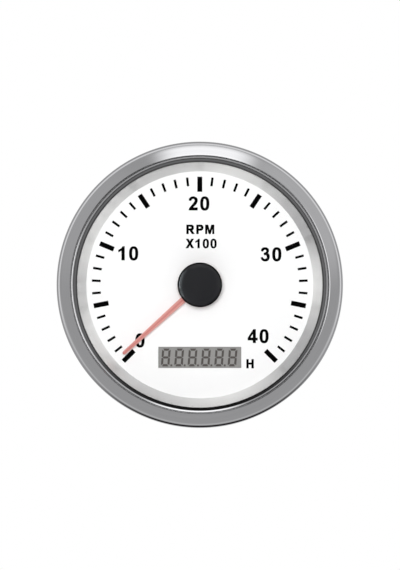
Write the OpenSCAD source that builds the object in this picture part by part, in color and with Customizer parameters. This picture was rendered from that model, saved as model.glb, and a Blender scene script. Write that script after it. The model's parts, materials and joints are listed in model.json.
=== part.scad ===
// Electronic engine tachometer for a round panel cut-out, with an hour display in its dial.
// The dial faces -Y. The origin is on the barrel's axis, on the panel's front face,
// and the barrel passes back through the panel towards +Y. All sizes are in millimetres.

/* [Case and panel] */
// Diameter of the barrel that passes through the panel
barrel_d = 84; // [80:0.5:104]
// Depth of the case behind the panel
case_depth = 36; // [35:0.5:60]
// Thickness of the barrel's wall
case_wall = 2.2; // [1.6:0.1:3]
// Thickness of the case's back wall
back_wall = 2.5; // [2:0.1:4]
// Thickness of the flange at the front of the case
flange_t = 3; // [2:0.1:4]
// Thickness of the gasket between the bezel and the panel
gasket_t = 1.6; // [0.8:0.1:3]
// What the barrel's radius gains under the gasket
register_step = 0.5; // [0.45:0.05:0.7]

/* [Bezel, lens and trim] */
// How far the bezel reaches out past the barrel
bezel_overhang = 5; // [4.2:0.1:8]
// Width of the bezel as seen from the front
bezel_w = 4.35; // [3.8:0.05:5.2]
// How far the bezel's crest stands in front of the lens seal
bezel_rise = 1.4; // [1.2:0.1:2.5]
// Slope of the bezel's face, from square to the axis
bezel_slope = 13; // [5:1:20]
// Outside radius of the roll at the bezel's rim
rim_roll = 1.2; // [0.9:0.1:1.5]
// Outside radius of the roll at the bezel's inner lip
lip_roll = 0.45; // [0.3:0.05:0.55]
// Outside radius of the round hem that the bezel ends in, inside its lip
hem_roll = 0.35; // [0.25:0.05:0.4]
// Distance from the lip to the inner edge of the hem
hem_in = 1.1; // [0.9:0.05:1.3]
// Thickness of the bezel's sheet metal
bezel_sheet = 0.6; // [0.4:0.05:0.8]
// Width of the bezel's edge that is turned in behind the flange
bezel_turn = 2.4; // [1.5:0.1:2.8]
// Thickness of the lens
lens_t = 2; // [1.5:0.1:3]
// Thickness of each leg of the lens seal
seal_leg = 0.7; // [0.5:0.1:1.2]
// Width of the lens seal that shows inside the bezel
seal_show = 2.35; // [1:0.05:3]
// Width of the trim ring as seen from the front
trim_show = 2.9; // [2:0.1:4]
// Thickness of the trim ring's wall at the dial
trim_wall = 1; // [0.6:0.1:1.5]
// Distance from the back of the lens to the dial's face
dial_recess = 6.4; // [6:0.1:10]

/* [Dial and pointer] */
// Thickness of the dial
dial_t = 0.6; // [0.4:0.1:1.2]
// Diameter of the hole in the dial's middle
dial_hole_d = 6.4; // [5.8:0.1:8]
// Radius at which the needle's tip runs
needle_reach = 34; // [20:0.1:35]
// Width of the needle where it leaves the cap
needle_root_w = 2.07; // [1:0.05:3]
// Width of the needle at its tip
needle_tip_w = 1.2; // [0.5:0.05:2]
// Thickness of the needle
needle_t = 0.8; // [0.6:0.1:1]
// Distance from the dial's face to the back of the needle
needle_lift = 1.7; // [1.2:0.1:2]
// Diameter of the pointer's cap
cap_d = 14.8; // [10:0.1:18]
// Height of the cap in front of the needle
cap_h = 2.6; // [1.5:0.1:2.8]
// Diameter of the pointer's shaft
shaft_d = 1.5; // [1:0.1:2]
// Direction of the needle at rest, in degrees up from the right as seen from the front
needle_rest = 222; // [180:0.1:270]
// Degrees that the pointer can turn back from rest
sweep_back = 5; // [3:1:10]
// Degrees that the pointer can turn up the scale from rest
sweep_up = 270; // [240:1:275]

/* [Display] */
// Width of the display's window in the dial
window_w = 27.3; // [20:0.05:32]
// Height of the display's window in the dial
window_h = 6.95; // [5:0.05:8.5]
// Distance of the display's centre below the dial's centre
window_drop = 23.9; // [23:0.1:25]
// Width of the display's glass
lcd_w = 36; // [34:0.5:38]
// Height of the display's glass
lcd_h = 14; // [13:0.5:14.5]
// Thickness of each of the display's two sheets of glass
lcd_sheet = 1.1; // [0.7:0.1:1.3]
// Width of the contact ledge on the display's back sheet
lcd_ledge = 1.2; // [0.8:0.1:2]
// Thickness of each rubber contact strip
zebra_t = 2; // [1.5:0.1:2.2]

/* [Light guide and board] */
// Distance from the back of the dial to the front of the circuit board
guide_depth = 6.9; // [6:0.1:10]
// Thickness of the light guide's plate and its rim
guide_wall = 1.6; // [1:0.1:2]
// Thickness of the circuit board
board_t = 1.6; // [1:0.1:2]
// Gap all round the circuit board inside the case
board_margin = 1.2; // [0.6:0.1:2]
// Distance of the board's screws from the case's wall
screw_inset = 5.6; // [5.4:0.1:8]
// Diameter of the board's screws
screw_d = 2.4; // [2:0.1:3]
// Diameter of the posts that carry the board
post_d = 6.4; // [5:0.1:7]
// Number of lamps round the dial
lamp_count = 8; // [4:1:8]

/* [Movement] */
// Width of the movement
motor_w = 31; // [31:0.5:34]
// Distance from the shaft to the movement's lower end
motor_below = 11.5; // [11.5:0.5:13]
// Distance from the shaft to the movement's upper end
motor_above = 25; // [25:0.5:26]
// Depth of the movement
motor_depth = 10.4; // [10.4:0.1:14]
// Thickness of the movement's shells
motor_wall = 1.2; // [1.2:0.1:1.5]
// Module of the gears
gear_module = 0.2; // [0.19:0.005:0.2]
// Teeth on the wheel that turns the pointer
output_teeth = 90; // [80:1:92]
// Teeth on the intermediate wheel
middle_teeth = 72; // [66:1:74]
// Leaves on each pinion
pinion_leaves = 6; // [6:1:8]
// Diameter of the gears' arbors
arbor_d = 0.7; // [0.5:0.05:0.7]
// Diameter of the rotor's magnet
magnet_d = 5.2; // [4:0.1:5.6]
// Diameter of each coil
coil_d = 5.4; // [4:0.1:5.6]

/* [Back of the case] */
// Diameter of the mounting studs
stud_d = 4; // [3:0.5:5]
// Distance between the studs
stud_span = 44; // [40:1:56]
// Length of each stud behind the case
stud_len = 24; // [23:1:40]
// Distance of the connector below the axis
header_drop = 24; // [22:0.5:26]
// Width of the connector's shell
header_w = 16; // [15:0.5:18]
// Height of the connector's shell
header_h = 11; // [10:0.5:12]
// How far the connector's shell stands out of the case
header_out = 10; // [8:0.5:14]
// Distance between neighbouring pins of the connector
pin_pitch = 2.54; // [2:0.01:2.6]
// Width of each pin
pin_w = 0.64; // [0.5:0.02:0.8]
// Distance of the set button above the axis
button_rise = 30.5; // [30:0.5:32]
// Diameter of the set button's rod
rod_d = 3.6; // [3:0.1:4]
// Travel of the set button
button_travel = 0.8; // [0.4:0.1:1]

/* [Clamp] */
// Thickness of the clamp bracket's strip
strip_t = 1.5; // [1:0.1:2]
// Width of the clamp bracket's strip
strip_w = 20; // [12:1:24]
// Gap between the bracket's legs and the barrel
leg_gap = 1.3; // [1:0.1:1.5]
// Gap between the bracket's feet and the gasket at rest
foot_gap = 5; // [4:0.5:12]
// How far the bracket can move towards the panel
clamp_in = 3.5; // [1:0.5:3.5]
// Thickness of the lock washers
washer_t = 1; // [0.6:0.1:1.5]
// Diameter of the thumb nuts
nut_d = 13; // [10:0.5:16]
// Height of the thumb nuts
nut_h = 8; // [6:0.5:10]
// Grooves round each thumb nut
nut_grooves = 18; // [12:1:24]

/* [Fits] */
// Radial clearance of a turning or sliding part in its bore
running = 0.05; // [0.02:0.01:0.08]
// Gap between fixed parts that only lie next to each other
clear = 0.1; // [0.05:0.05:0.15]

/* [Hidden] */
$fn = 96;
// Length by which a cut runs past the face that it opens
over = 1;

// Radii of the case and of what shows inside the bezel, from the rim inwards
barrel_r = barrel_d / 2;
case_in_r = barrel_r - case_wall;
bezel_r = barrel_r + bezel_overhang;
lip_r = bezel_r - bezel_w;
seal_in_r = lip_r - seal_show;
trim_front_r = seal_in_r - clear;
dial_view_r = trim_front_r - trim_show;
front_bore_r = trim_front_r + 1;
flange_r = bezel_r - bezel_sheet - clear;
seal_r = flange_r - clear;
lens_r = seal_r - 1.3;
register_r = barrel_r + register_step;
dial_r = case_in_r - 0.5;
board_r = case_in_r - board_margin;

// Places along the axis, from the panel forwards
bezel_back_y = -gasket_t;
flange_back_y = bezel_back_y - bezel_sheet;
flange_front_y = flange_back_y - flange_t;
lens_back_y = flange_front_y - seal_leg;
lens_front_y = lens_back_y - lens_t;
seal_front_y = lens_front_y - seal_leg;
crest_y = seal_front_y - bezel_rise;
trim_seat_y = flange_back_y - 0.4;

// Places along the axis, from the dial backwards
dial_y = lens_back_y + dial_recess;
guide_y = dial_y + dial_t;
board_y = guide_y + guide_depth;
board_back_y = board_y + board_t;
motor_back_y = board_back_y + motor_depth;
wall_y = case_depth - back_wall;

// Pointer
needle_back_y = dial_y - needle_lift;
needle_front_y = needle_back_y - needle_t;
cap_front_y = needle_front_y - cap_h;
cap_r = cap_d / 2;
cap_wall = 0.75;
hub_disc_r = cap_r - cap_wall - clear;
hub_boss_r = dial_hole_d / 2 - 0.8;
shaft_r = shaft_d / 2;
shaft_front_y = needle_front_y - cap_h / 3;

// Display, behind its window
lcd_y = guide_y + 0.2;
lcd_back_y = lcd_y + 2 * lcd_sheet;
zebra_offset = lcd_h / 2 - 1.4;
zebra_w = lcd_w - 3;
holder_h = lcd_h;
light_box_h = 2 * (zebra_offset - zebra_t / 2 - clear) - 2.2;

// Board and its screws
screw_circle_r = case_in_r - screw_inset;
screw_head_d = 4.4;
screw_head_t = 1.6;
screw_grip = 8;
collar_r = 5;
collar_bore_r = 3;
peg_r = 1;
guide_pegs = [for (a = [100, 220, 340]) [31 * cos(a), 31 * sin(a)]];
lamp_circle_r = 25;
lamp_size = [3, 1.4, 0.9];
display_lamp_x = 9;
// Angles of the lamps start at the lower right and end at the lower left
lamp_start = -36;
lamp_end = 216;

// Movement: levels along the shaft
cover_in_y = board_back_y + motor_wall;
output_y = cover_in_y + 1.2;
output_t = 0.8;
middle_y = output_y + output_t + 0.5;
middle_t = 0.7;
magnet_y = middle_y + middle_t + 0.6;
magnet_t = 2.4;
stator_y = magnet_y + 0.7;
stator_t = 1;
motor_in_back_y = motor_back_y - motor_wall;
motor_split_y = middle_y + 1.2;
pivot_depth = 0.6;
arbor_r = arbor_d / 2;

// Movement: gear centres, all on the line straight up from the shaft
output_pitch_r = gear_module * output_teeth / 2;
middle_pitch_r = gear_module * middle_teeth / 2;
pinion_pitch_r = gear_module * pinion_leaves / 2;
middle_z = output_pitch_r + pinion_pitch_r;
rotor_z = middle_z + middle_pitch_r + pinion_pitch_r;
// Half a tooth's outline in modules, as [height over the pitch circle, half width], then the whole tooth
half_tooth = [[-1.3, 0.6], [0, 0.55], [0.7, 0.2]];
tooth_form = [
    for (side = [-1, 1], i = [0:2])
        let (k = half_tooth[side < 0 ? i : 2 - i])
            [k.x, side * k.y]
];
stop_r = 5.5;
stop_peg_r = 0.5;
stop_peg_h = 0.8;
stop_play = 1;

// Movement: stator and coils
coil_x = motor_w / 2 - motor_wall - coil_d / 2 - 0.4;
core_w = 2.2;
bar_w = 2;
stator_low_z = rotor_z - 11.8;
stator_high_z = rotor_z + 5.2;
coil_len = stator_high_z - stator_low_z - 2 * bar_w - 1.2;
stator_hole_r = magnet_d / 2 + 0.5;
stator_ring_r = stator_hole_r + 1.3;
terminal_r = 0.35;
terminals = [for (x = [-1, 1], z = [-2.5, 2.5]) [x * (motor_w / 2 - 2.7), z]];
motor_pegs = [[-9, -8.5], [9, -8.5]];
pivot_bore = pivot_depth + clear;
pivots = [[0, middle_z], [0, rotor_z]];

// Back of the case
stud_r = stud_d / 2;
stud_head_t = 2;
stud_head_r = stud_d;
header_flange_w = header_w + 14;
header_flange_h = header_h + 4;
header_flange_t = 1.5;
header_shell_t = 1.4;
header_seal_t = 0.8;
header_floor_t = 2.8;
header_screw_x = header_w / 2 + 4.2;
header_flange_y = wall_y - header_seal_t - header_flange_t;
header_floor_y = header_flange_y + 0.8;
header_end_y = case_depth + header_out;
pin_columns = 4;
pin_rows = 2;
pin_recess = 5.5;
pin_tail = 0.8;
rod_r = rod_d / 2;
button_head_r = rod_r + 1.4;
button_head_t = 1.6;
button_gap = 1;
button_seal_r = rod_r + 1.6;
button_seal_t = 1;
guide_tube_r = rod_r + 1.6;
guide_tube_len = 9.5;
switch_w = 6;
switch_h = 3.5;
plunger_r = 1.7;
plunger_y = board_back_y + switch_h + 1.7;
switch_floor_y = board_back_y + 1;
breather_at = [-14, 28];
breather_r = 4;
breather_seat = 0.8;

// Clamp
strap_y = case_depth + clamp_in + 0.2;
strap_back_y = strap_y + strip_t;
leg_x = barrel_r + leg_gap;
bend_r = 1.5;
washer_r = stud_r + 2.1;
nut_y = strap_back_y + washer_t;
nut_r = nut_d / 2;
nut_collar_t = 1;

// A flat piece from y0 back to y1, whose outline is drawn as seen from the front
module plate(y0, y1)
    translate([0, y1, 0])
        rotate([90, 0, 0])
            linear_extrude(y1 - y0)
                children();

// A piece turned about the barrel's axis, whose half section is drawn as [radius, y]
module turned()
    rotate([-90, 0, 0])
        rotate_extrude()
            children();

// A round rod from y0 back to y1 at [x, z]
module rod(y0, y1, r, at = [0, 0])
    translate([at.x, y0, at.y])
        rotate([-90, 0, 0])
            cylinder(h = y1 - y0, r = r);

// A tube from y0 back to y1 at [x, z]
module tube(y0, y1, outer, inner, at = [0, 0])
    difference() {
        rod(y0, y1, outer, at);
        rod(y0 - over, y1 + over, inner, at);
    }

// An outline of width w and height h about [x, z], with corners of radius r
module rounded(w, h, r, at = [0, 0])
    translate(at) {
        square([w - 2 * r, h], center = true);
        square([w, h - 2 * r], center = true);
        for (x = [-1, 1], z = [-1, 1])
            translate([x * (w / 2 - r), z * (h / 2 - r)])
                circle(r);
    }

// A rectangular outline about [x, z]
module block(w, h, at = [0, 0])
    translate(at)
        square([w, h], center = true);

// Points on an arc about c, from angle a0 to a1
function arc(c, r, a0, a1, steps = 8) = [
    for (i = [0:steps])
        let (a = a0 + (a1 - a0) * i / steps)
            [c.x + r * cos(a), c.y + r * sin(a)]
];

// A point at a radius and an angle
function polar(r, a) = [r * cos(a), r * sin(a)];

// Outline of a gear whose pitch circle has radius pitch_r; one tooth points at the angle toward
function gear_points(teeth, pitch_r, toward) = [
    for (i = [0:teeth - 1], k = tooth_form)
        let (r = pitch_r + k.x * gear_module)
            polar(r, toward + 360 * i / teeth + k.y * gear_module / r * 180 / PI)
];

// Children copied to the four corners at 45 degrees on a circle
module at_screws()
    for (a = [45:90:315])
        translate([polar(screw_circle_r, a).x, 0, polar(screw_circle_r, a).y])
            children();

// Children copied to both studs
module at_studs()
    for (x = [-1, 1])
        translate([x * stud_span / 2, 0, 0])
            children();

module bezel() {
    lip_c = [lip_r + lip_roll, crest_y + lip_roll];
    face_w = bezel_r - rim_roll - lip_c.x;
    face_drop = face_w * tan(bezel_slope) + (rim_roll - lip_roll) / cos(bezel_slope);
    rim_c = [bezel_r - rim_roll, lip_c.y + face_drop];
    lip_back_r = lip_r + bezel_sheet;
    under_y = lip_c.y + (bezel_sheet - lip_roll) * (tan(bezel_slope) + 1 / cos(bezel_slope));
    face_a = bezel_slope - 90;
    back_c = [bezel_r - bezel_sheet, flange_back_y];
    turn_r = bezel_r - bezel_turn;
    // The sheet turns inwards over the seal and ends in a hem
    hem_c = [lip_r - hem_in + hem_roll, seal_front_y - hem_roll];
    web_y = seal_front_y - 0.4;
    color("silver")
        turned()
            polygon(concat(
                [[turn_r, bezel_back_y]],
                arc(back_c, bezel_sheet, 90, 0),
                arc(rim_c, rim_roll, 0, face_a, 12),
                arc(lip_c, lip_roll, face_a, -180),
                [[lip_r, web_y]],
                arc(hem_c, hem_roll, -asin((hem_c.y - web_y) / hem_roll), -180),
                [[hem_c.x - hem_roll, seal_front_y], [lip_back_r, seal_front_y], [lip_back_r, under_y]],
                arc(rim_c, rim_roll - bezel_sheet, face_a, 0),
                [back_c, [turn_r, flange_back_y]]
            ));
}

module lens_seal() {
    leg_in_r = front_bore_r + clear;
    edge_r = lens_r + clear;
    nose = 0.3;
    color("black")
        turned()
            polygon(concat(
                arc([seal_in_r + nose, seal_front_y + nose], nose, 180, 270),
                [
                    [seal_r, seal_front_y], [seal_r, flange_front_y],
                    [leg_in_r, flange_front_y], [leg_in_r, lens_back_y], [edge_r, lens_back_y],
                    [edge_r, lens_front_y], [seal_in_r, lens_front_y]
                ]
            ));
}

module lens()
    color("azure", 0.25)
        rod(lens_front_y, lens_back_y, lens_r);

module trim_ring() {
    flange = front_bore_r - clear;
    color("gainsboro")
        turned()
            polygon([
                [trim_front_r, lens_back_y], [dial_view_r, dial_y], [dial_view_r + trim_wall, dial_y],
                [case_in_r - clear, trim_seat_y], [flange, trim_seat_y], [flange, lens_back_y]
            ]);
}

module dial()
    color("white")
        plate(dial_y, guide_y)
            difference() {
                circle(dial_r);
                circle(d = dial_hole_d);
                block(window_w, window_h, [0, -window_drop]);
            }

module needle() {
    root = needle_root_w / 2;
    tip = needle_tip_w / 2;
    color("salmon")
        difference() {
            union() {
                plate(needle_front_y, needle_back_y) {
                    circle(hub_disc_r);
                    rotate(needle_rest)
                        polygon([
                            [0, -root], [cap_r, -root], [needle_reach, -tip],
                            [needle_reach, tip], [cap_r, root], [0, root]
                        ]);
                }
                rod(needle_back_y - needle_t / 2, dial_y + clear, hub_boss_r);
            }
            rod(cap_front_y, guide_y + over, shaft_r);
        }
}

module pointer_cap() {
    edge = 0.9;
    skirt_y = needle_back_y + 0.2;
    skirt_in_r = cap_r - cap_wall;
    color("black")
        difference() {
            turned()
                polygon(concat(
                    [[0, cap_front_y]],
                    arc([cap_r - edge, cap_front_y + edge], edge, -90, 0),
                    [[cap_r, skirt_y], [skirt_in_r, skirt_y]],
                    [[skirt_in_r, needle_front_y], [0, needle_front_y]]
                ));
            // The needle leaves through a slot in the skirt
            plate(needle_front_y, skirt_y + over)
                rotate(needle_rest)
                    translate([0, -needle_root_w / 2 - clear])
                        square([cap_r + over, needle_root_w + 2 * clear]);
            rod(shaft_front_y, needle_front_y + over, shaft_r);
        }
}

module pointer_shaft()
    color("lightsteelblue")
        rod(shaft_front_y, motor_in_back_y + pivot_depth, shaft_r);

module light_guide() {
    rim_r = dial_r - 0.3;
    color("ghostwhite") {
        difference() {
            union() {
                rod(guide_y, guide_y + guide_wall, rim_r);
                tube(guide_y, board_y, rim_r, rim_r - guide_wall);
                rod(guide_y, board_y - 0.3, collar_r);
            }
            rod(guide_y - over, board_y, collar_bore_r);
            plate(guide_y - over, guide_y + guide_wall + over)
                block(lcd_w + 0.6, lcd_h + 0.6, [0, -window_drop]);
        }
        // Three pegs place the light guide on the board
        for (p = guide_pegs)
            rod(guide_y + guide_wall / 2, board_back_y, peg_r, p);
    }
}

module lcd_glass()
    color("darkgray") {
        plate(lcd_y, lcd_y + lcd_sheet)
            block(lcd_w, lcd_h - 2 * lcd_ledge, [0, -window_drop]);
        plate(lcd_y + lcd_sheet, lcd_back_y)
            block(lcd_w, lcd_h, [0, -window_drop]);
    }

// Outline of a contact strip over or under the display's middle, with a margin all round
module zebra_outline(side, margin = 0)
    block(zebra_w + 2 * margin, zebra_t + 2 * margin, [0, side * zebra_offset - window_drop]);

module lcd_holder() {
    diffuser_t = 1;
    color("snow")
        difference() {
            plate(lcd_back_y, board_y)
                block(lcd_w, holder_h, [0, -window_drop]);
            for (side = [-1, 1])
                plate(lcd_back_y - over, board_y + over)
                    zebra_outline(side, clear);
            // The lamps shine into a box behind a thin diffuser
            plate(lcd_back_y + diffuser_t, board_y + over)
                block(lcd_w - 6, light_box_h, [0, -window_drop]);
        }
}

module zebra_strips()
    color("dimgray")
        for (side = [-1, 1])
            plate(lcd_back_y, board_y)
                zebra_outline(side);

module circuit_board() {
    pin_hole_r = pin_w / 2 + 0.25;
    color("darkgreen")
        difference() {
            rod(board_y, board_back_y, board_r);
            rod(board_y - over, board_back_y + over, collar_bore_r);
            at_screws()
                rod(board_y - over, board_back_y + over, screw_d / 2 + 0.15);
            for (p = concat(guide_pegs, motor_pegs))
                rod(board_y - over, board_back_y + over, peg_r + running, p);
            for (p = terminals)
                rod(board_y - over, board_back_y + over, terminal_r + clear, p);
            at_pins()
                rod(board_y - over, board_back_y + over, pin_hole_r);
        }
}

module lamps() {
    step = (lamp_end - lamp_start) / (lamp_count - 1);
    color("lemonchiffon") {
        for (i = [0:lamp_count - 1])
            plate(board_y - lamp_size.z, board_y)
                block(lamp_size.x, lamp_size.y, polar(lamp_circle_r, lamp_start + step * i));
        for (x = [-1, 1])
            plate(board_y - lamp_size.z, board_y)
                block(lamp_size.x, lamp_size.y, [x * display_lamp_x, -window_drop]);
    }
}

module microcontroller() {
    body_w = 10;
    lead_pitch = 0.8;
    leads = 11;
    at = [-24.5, 0];
    color("#26282a") {
        plate(board_back_y + 0.1, board_back_y + 1.5)
            block(body_w, body_w, at);
        for (turn = [0:90:270], i = [0:leads - 1])
            translate([at.x, 0, at.y])
                rotate([0, turn, 0])
                    plate(board_back_y, board_back_y + 0.5)
                        block(2.2, 0.35, [body_w / 2 + 0.1, (i - (leads - 1) / 2) * lead_pitch]);
    }
}

module crystal()
    color("silver")
        plate(board_back_y, board_back_y + 3.5)
            rounded(11, 4.6, 2.2, [-24.5, 13.5]);

module regulator()
    color("#2a2b2d") {
        plate(board_back_y, board_back_y + 2.3)
            block(6.5, 6, [25, 4]);
        plate(board_back_y, board_back_y + 0.5)
            block(5.2, 9.5, [25, 4.5]);
    }

module capacitors()
    color("slategray")
        for (z = [-8, 15])
            rod(board_back_y, board_back_y + 10, 3.8, [26, z]);

module board_screws()
    color("gainsboro")
        at_screws()
            difference() {
                union() {
                    rod(board_y - screw_head_t, board_y, screw_head_d / 2);
                    rod(board_y - screw_head_t / 2, board_back_y + screw_grip, screw_d / 2);
                }
                cross_recess(board_y - screw_head_t, 0.8, screw_head_d * 0.55);
            }

// A cross cut into a screw head whose front is at y
module cross_recess(y, depth, span)
    plate(y - over, y + depth)
        for (a = [0, 90])
            rotate(a)
                square([span, 0.7], center = true);

// Outline of the movement, drawn in by shrink all round
module motor_outline(shrink = 0) {
    mid_z = (motor_above - motor_below) / 2;
    h = motor_above + motor_below;
    rounded(motor_w - 2 * shrink, h - 2 * shrink, 3 - shrink, [0, mid_z]);
}

module motor_front_shell() {
    boss_r = 2.2;
    stop_a = needle_rest + sweep_back + (360 - sweep_back - sweep_up) / 2;
    peg_half = asin(stop_peg_r / stop_r);
    stop_half = (360 - sweep_back - sweep_up) / 2 - peg_half - stop_play;
    color("whitesmoke")
        difference() {
            union() {
                difference() {
                    plate(board_back_y, motor_split_y)
                        motor_outline();
                    plate(cover_in_y, motor_split_y + over)
                        motor_outline(motor_wall);
                }
                rod(board_y + 0.2, cover_in_y, boss_r);
                for (p = motor_pegs)
                    rod(board_y + 0.2, cover_in_y, peg_r, p);
                // A block on the shell's inside stops the wheel's peg at both ends of the sweep
                plate(cover_in_y - motor_wall / 2, cover_in_y + 1)
                    polygon(concat(
                        arc([0, 0], stop_r - 0.9, stop_a - stop_half, stop_a + stop_half, 12),
                        arc([0, 0], stop_r + 0.9, stop_a + stop_half, stop_a - stop_half, 12)
                    ));
            }
            rod(board_y - over, cover_in_y + over, shaft_r + running);
            for (p = pivots)
                rod(cover_in_y - pivot_bore, cover_in_y + over, arbor_r + running, p);
            for (p = terminals)
                rod(board_back_y - over, cover_in_y + over, terminal_r + running, p);
        }
}

module motor_rear_shell()
    color("lightgray")
        difference() {
            union() {
                difference() {
                    plate(motor_split_y, motor_back_y)
                        motor_outline();
                    plate(motor_split_y - over, motor_in_back_y)
                        motor_outline(motor_wall);
                }
                // Four posts carry the stator at its corners
                for (x = [-1, 1], z = [stator_low_z + bar_w / 2, stator_high_z - bar_w / 2])
                    rod(stator_y + stator_t, motor_in_back_y + motor_wall / 2, 1, [x * coil_x, z]);
            }
            rod(motor_in_back_y - over, motor_in_back_y + pivot_bore, shaft_r + running);
            for (p = pivots)
                rod(motor_in_back_y - over, motor_in_back_y + pivot_bore, arbor_r + running, p);
        }

module stator() {
    half_w = coil_x + core_w / 2;
    window_in = 1.6;
    window_side = half_w - core_w - window_in;
    window_top = stator_high_z - stator_low_z - 2 * bar_w;
    color("darkgray")
        plate(stator_y, stator_y + stator_t)
            difference() {
                union() {
                    difference() {
                        translate([-half_w, stator_low_z])
                            square([2 * half_w, stator_high_z - stator_low_z]);
                        for (x = [window_in, -window_in - window_side])
                            translate([x, stator_low_z + bar_w])
                                square([window_side, window_top]);
                    }
                    translate([0, rotor_z])
                        circle(stator_ring_r);
                }
                translate([0, rotor_z])
                    circle(stator_hole_r);
                translate([0, middle_z])
                    circle(arbor_r + 0.5);
            }
}

module coils() {
    low_z = (stator_low_z + stator_high_z - coil_len) / 2;
    mid_y = stator_y + stator_t / 2;
    color("chocolate")
        for (x = [-coil_x, coil_x])
            translate([x, mid_y, low_z])
                difference() {
                    cylinder(h = coil_len, d = coil_d);
                    translate([0, 0, coil_len / 2])
                        cube([core_w + 2 * clear, stator_t + 2 * clear, coil_len + over], center = true);
                }
}

module motor_terminals()
    color("goldenrod")
        for (p = terminals)
            rod(board_y - pin_tail, cover_in_y + 2.5, terminal_r, p);

module rotor_magnet()
    color("#3a3c40")
        tube(magnet_y, magnet_y + magnet_t, magnet_d / 2, arbor_r, [0, rotor_z]);

module rotor_pinion()
    color("white")
        difference() {
            union() {
                translate([0, 0, rotor_z])
                    plate(middle_y - 0.3, middle_y + middle_t + 0.3)
                        polygon(gear_points(pinion_leaves, pinion_pitch_r, -90 + 180 / pinion_leaves));
                rod(middle_y + middle_t + 0.2, magnet_y, pinion_pitch_r, [0, rotor_z]);
            }
            rod(middle_y - over, magnet_y + over, arbor_r / 2, [0, rotor_z]);
        }

// The rotor's arbor is thinner inside its pinion
module rotor_arbor()
    color("lightsteelblue") {
        rod(cover_in_y - pivot_depth, middle_y - 0.3, arbor_r, [0, rotor_z]);
        rod(middle_y - 0.3, magnet_y, arbor_r / 2, [0, rotor_z]);
        rod(magnet_y, motor_in_back_y + pivot_depth, arbor_r, [0, rotor_z]);
    }

module intermediate_wheel()
    color("ivory")
        difference() {
            translate([0, 0, middle_z]) {
                plate(middle_y, middle_y + middle_t)
                    polygon(gear_points(middle_teeth, middle_pitch_r, 90));
                plate(output_y - 0.3, middle_y)
                    polygon(gear_points(pinion_leaves, pinion_pitch_r, -90 + 180 / pinion_leaves));
                rod(middle_y, magnet_y, 1.1);
            }
            rod(output_y - over, magnet_y + over, arbor_r / 2, [0, middle_z]);
        }

// The intermediate arbor is thinner inside its wheel
module intermediate_arbor()
    color("lightsteelblue") {
        rod(cover_in_y - pivot_depth, output_y - 0.3, arbor_r, [0, middle_z]);
        rod(output_y - 0.3, magnet_y, arbor_r / 2, [0, middle_z]);
        rod(magnet_y, motor_in_back_y + pivot_depth, arbor_r, [0, middle_z]);
    }

module output_wheel()
    color("ivory")
        difference() {
            union() {
                plate(output_y, output_y + output_t)
                    difference() {
                        polygon(gear_points(output_teeth, output_pitch_r, 90));
                        for (a = [0:60:300])
                            translate(polar(output_pitch_r * 0.62, a))
                                circle(0.9);
                    }
                rod(output_y - 0.6, output_y + output_t + 0.2, 1.6);
                // The peg meets the shell's block at both ends of the sweep
                rod(output_y - stop_peg_h, output_y + output_t / 2, stop_peg_r, polar(stop_r, needle_rest));
            }
            rod(output_y - 2 * over, output_y + output_t + over, shaft_r);
        }

module case() {
    rib_t = 1.2;
    chamfer = 0.8;
    header_hole = [header_w + 2 * clear, header_h + 2 * clear];
    color("#232426")
        difference() {
            union() {
                turned()
                    polygon([
                        [flange_r, flange_back_y], [flange_r, flange_front_y],
                        [front_bore_r, flange_front_y], [front_bore_r, trim_seat_y],
                        [case_in_r, trim_seat_y], [case_in_r, wall_y], [0, wall_y], [0, case_depth],
                        [barrel_r - chamfer, case_depth], [barrel_r, case_depth - chamfer],
                        [barrel_r, 0], [register_r, 0], [register_r, flange_back_y]
                    ]);
                // Posts carry the board, each joined to the barrel by a rib
                at_screws()
                    rod(board_back_y, wall_y + back_wall / 2, post_d / 2);
                for (a = [45:90:315])
                    plate(board_back_y + 1, wall_y + back_wall / 2)
                        rotate(a)
                            translate([screw_circle_r, -rib_t / 2])
                                square([screw_inset + case_wall / 2, rib_t]);
                rod(wall_y - guide_tube_len, wall_y + back_wall / 2, guide_tube_r, [0, button_rise]);
            }
            at_screws()
                rod(board_back_y - over, board_back_y + screw_grip + 1, screw_d / 2 + 0.02);
            at_studs()
                rod(wall_y - over, case_depth + over, stud_r + running);
            plate(wall_y - over, case_depth + over)
                rounded(header_hole.x, header_hole.y, 1, [0, -header_drop]);
            for (x = [-1, 1])
                rod(wall_y - over, wall_y + back_wall * 0.7, 0.9, [x * header_screw_x, -header_drop]);
            rod(wall_y - guide_tube_len - over, case_depth + over, rod_r + running, [0, button_rise]);
            rod(case_depth - button_seal_t, case_depth + over, button_seal_r + clear, [0, button_rise]);
            rod(case_depth - breather_seat, case_depth + over, breather_r + clear, breather_at);
            rod(wall_y - over, case_depth, 0.8, breather_at);
        }
}

module panel_gasket() {
    in_r = register_r + clear;
    step_r = bezel_r - bezel_turn - clear;
    color("#1c1c1c")
        turned()
            polygon([
                [in_r, 0], [flange_r, 0], [flange_r, bezel_back_y], [step_r, bezel_back_y],
                [step_r, flange_back_y], [in_r, flange_back_y]
            ]);
}

module mounting_studs() {
    end_y = case_depth + stud_len;
    point = 0.6;
    color("silver")
        at_studs() {
            rod(wall_y - stud_head_t, end_y - point, stud_r);
            translate([0, end_y - point, 0])
                rotate([-90, 0, 0])
                    cylinder(h = point, r1 = stud_r, r2 = stud_r - point);
            translate([0, wall_y - stud_head_t, 0])
                rotate([-90, 0, 0])
                    cylinder(h = stud_head_t, r = stud_head_r, $fn = 6);
        }
}

// Children copied to every pin of the connector
module at_pins()
    for (i = [0:pin_columns - 1], j = [0:pin_rows - 1])
        translate([
            (i - (pin_columns - 1) / 2) * pin_pitch, 0,
            (j - (pin_rows - 1) / 2) * pin_pitch - header_drop
        ])
            children();

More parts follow.
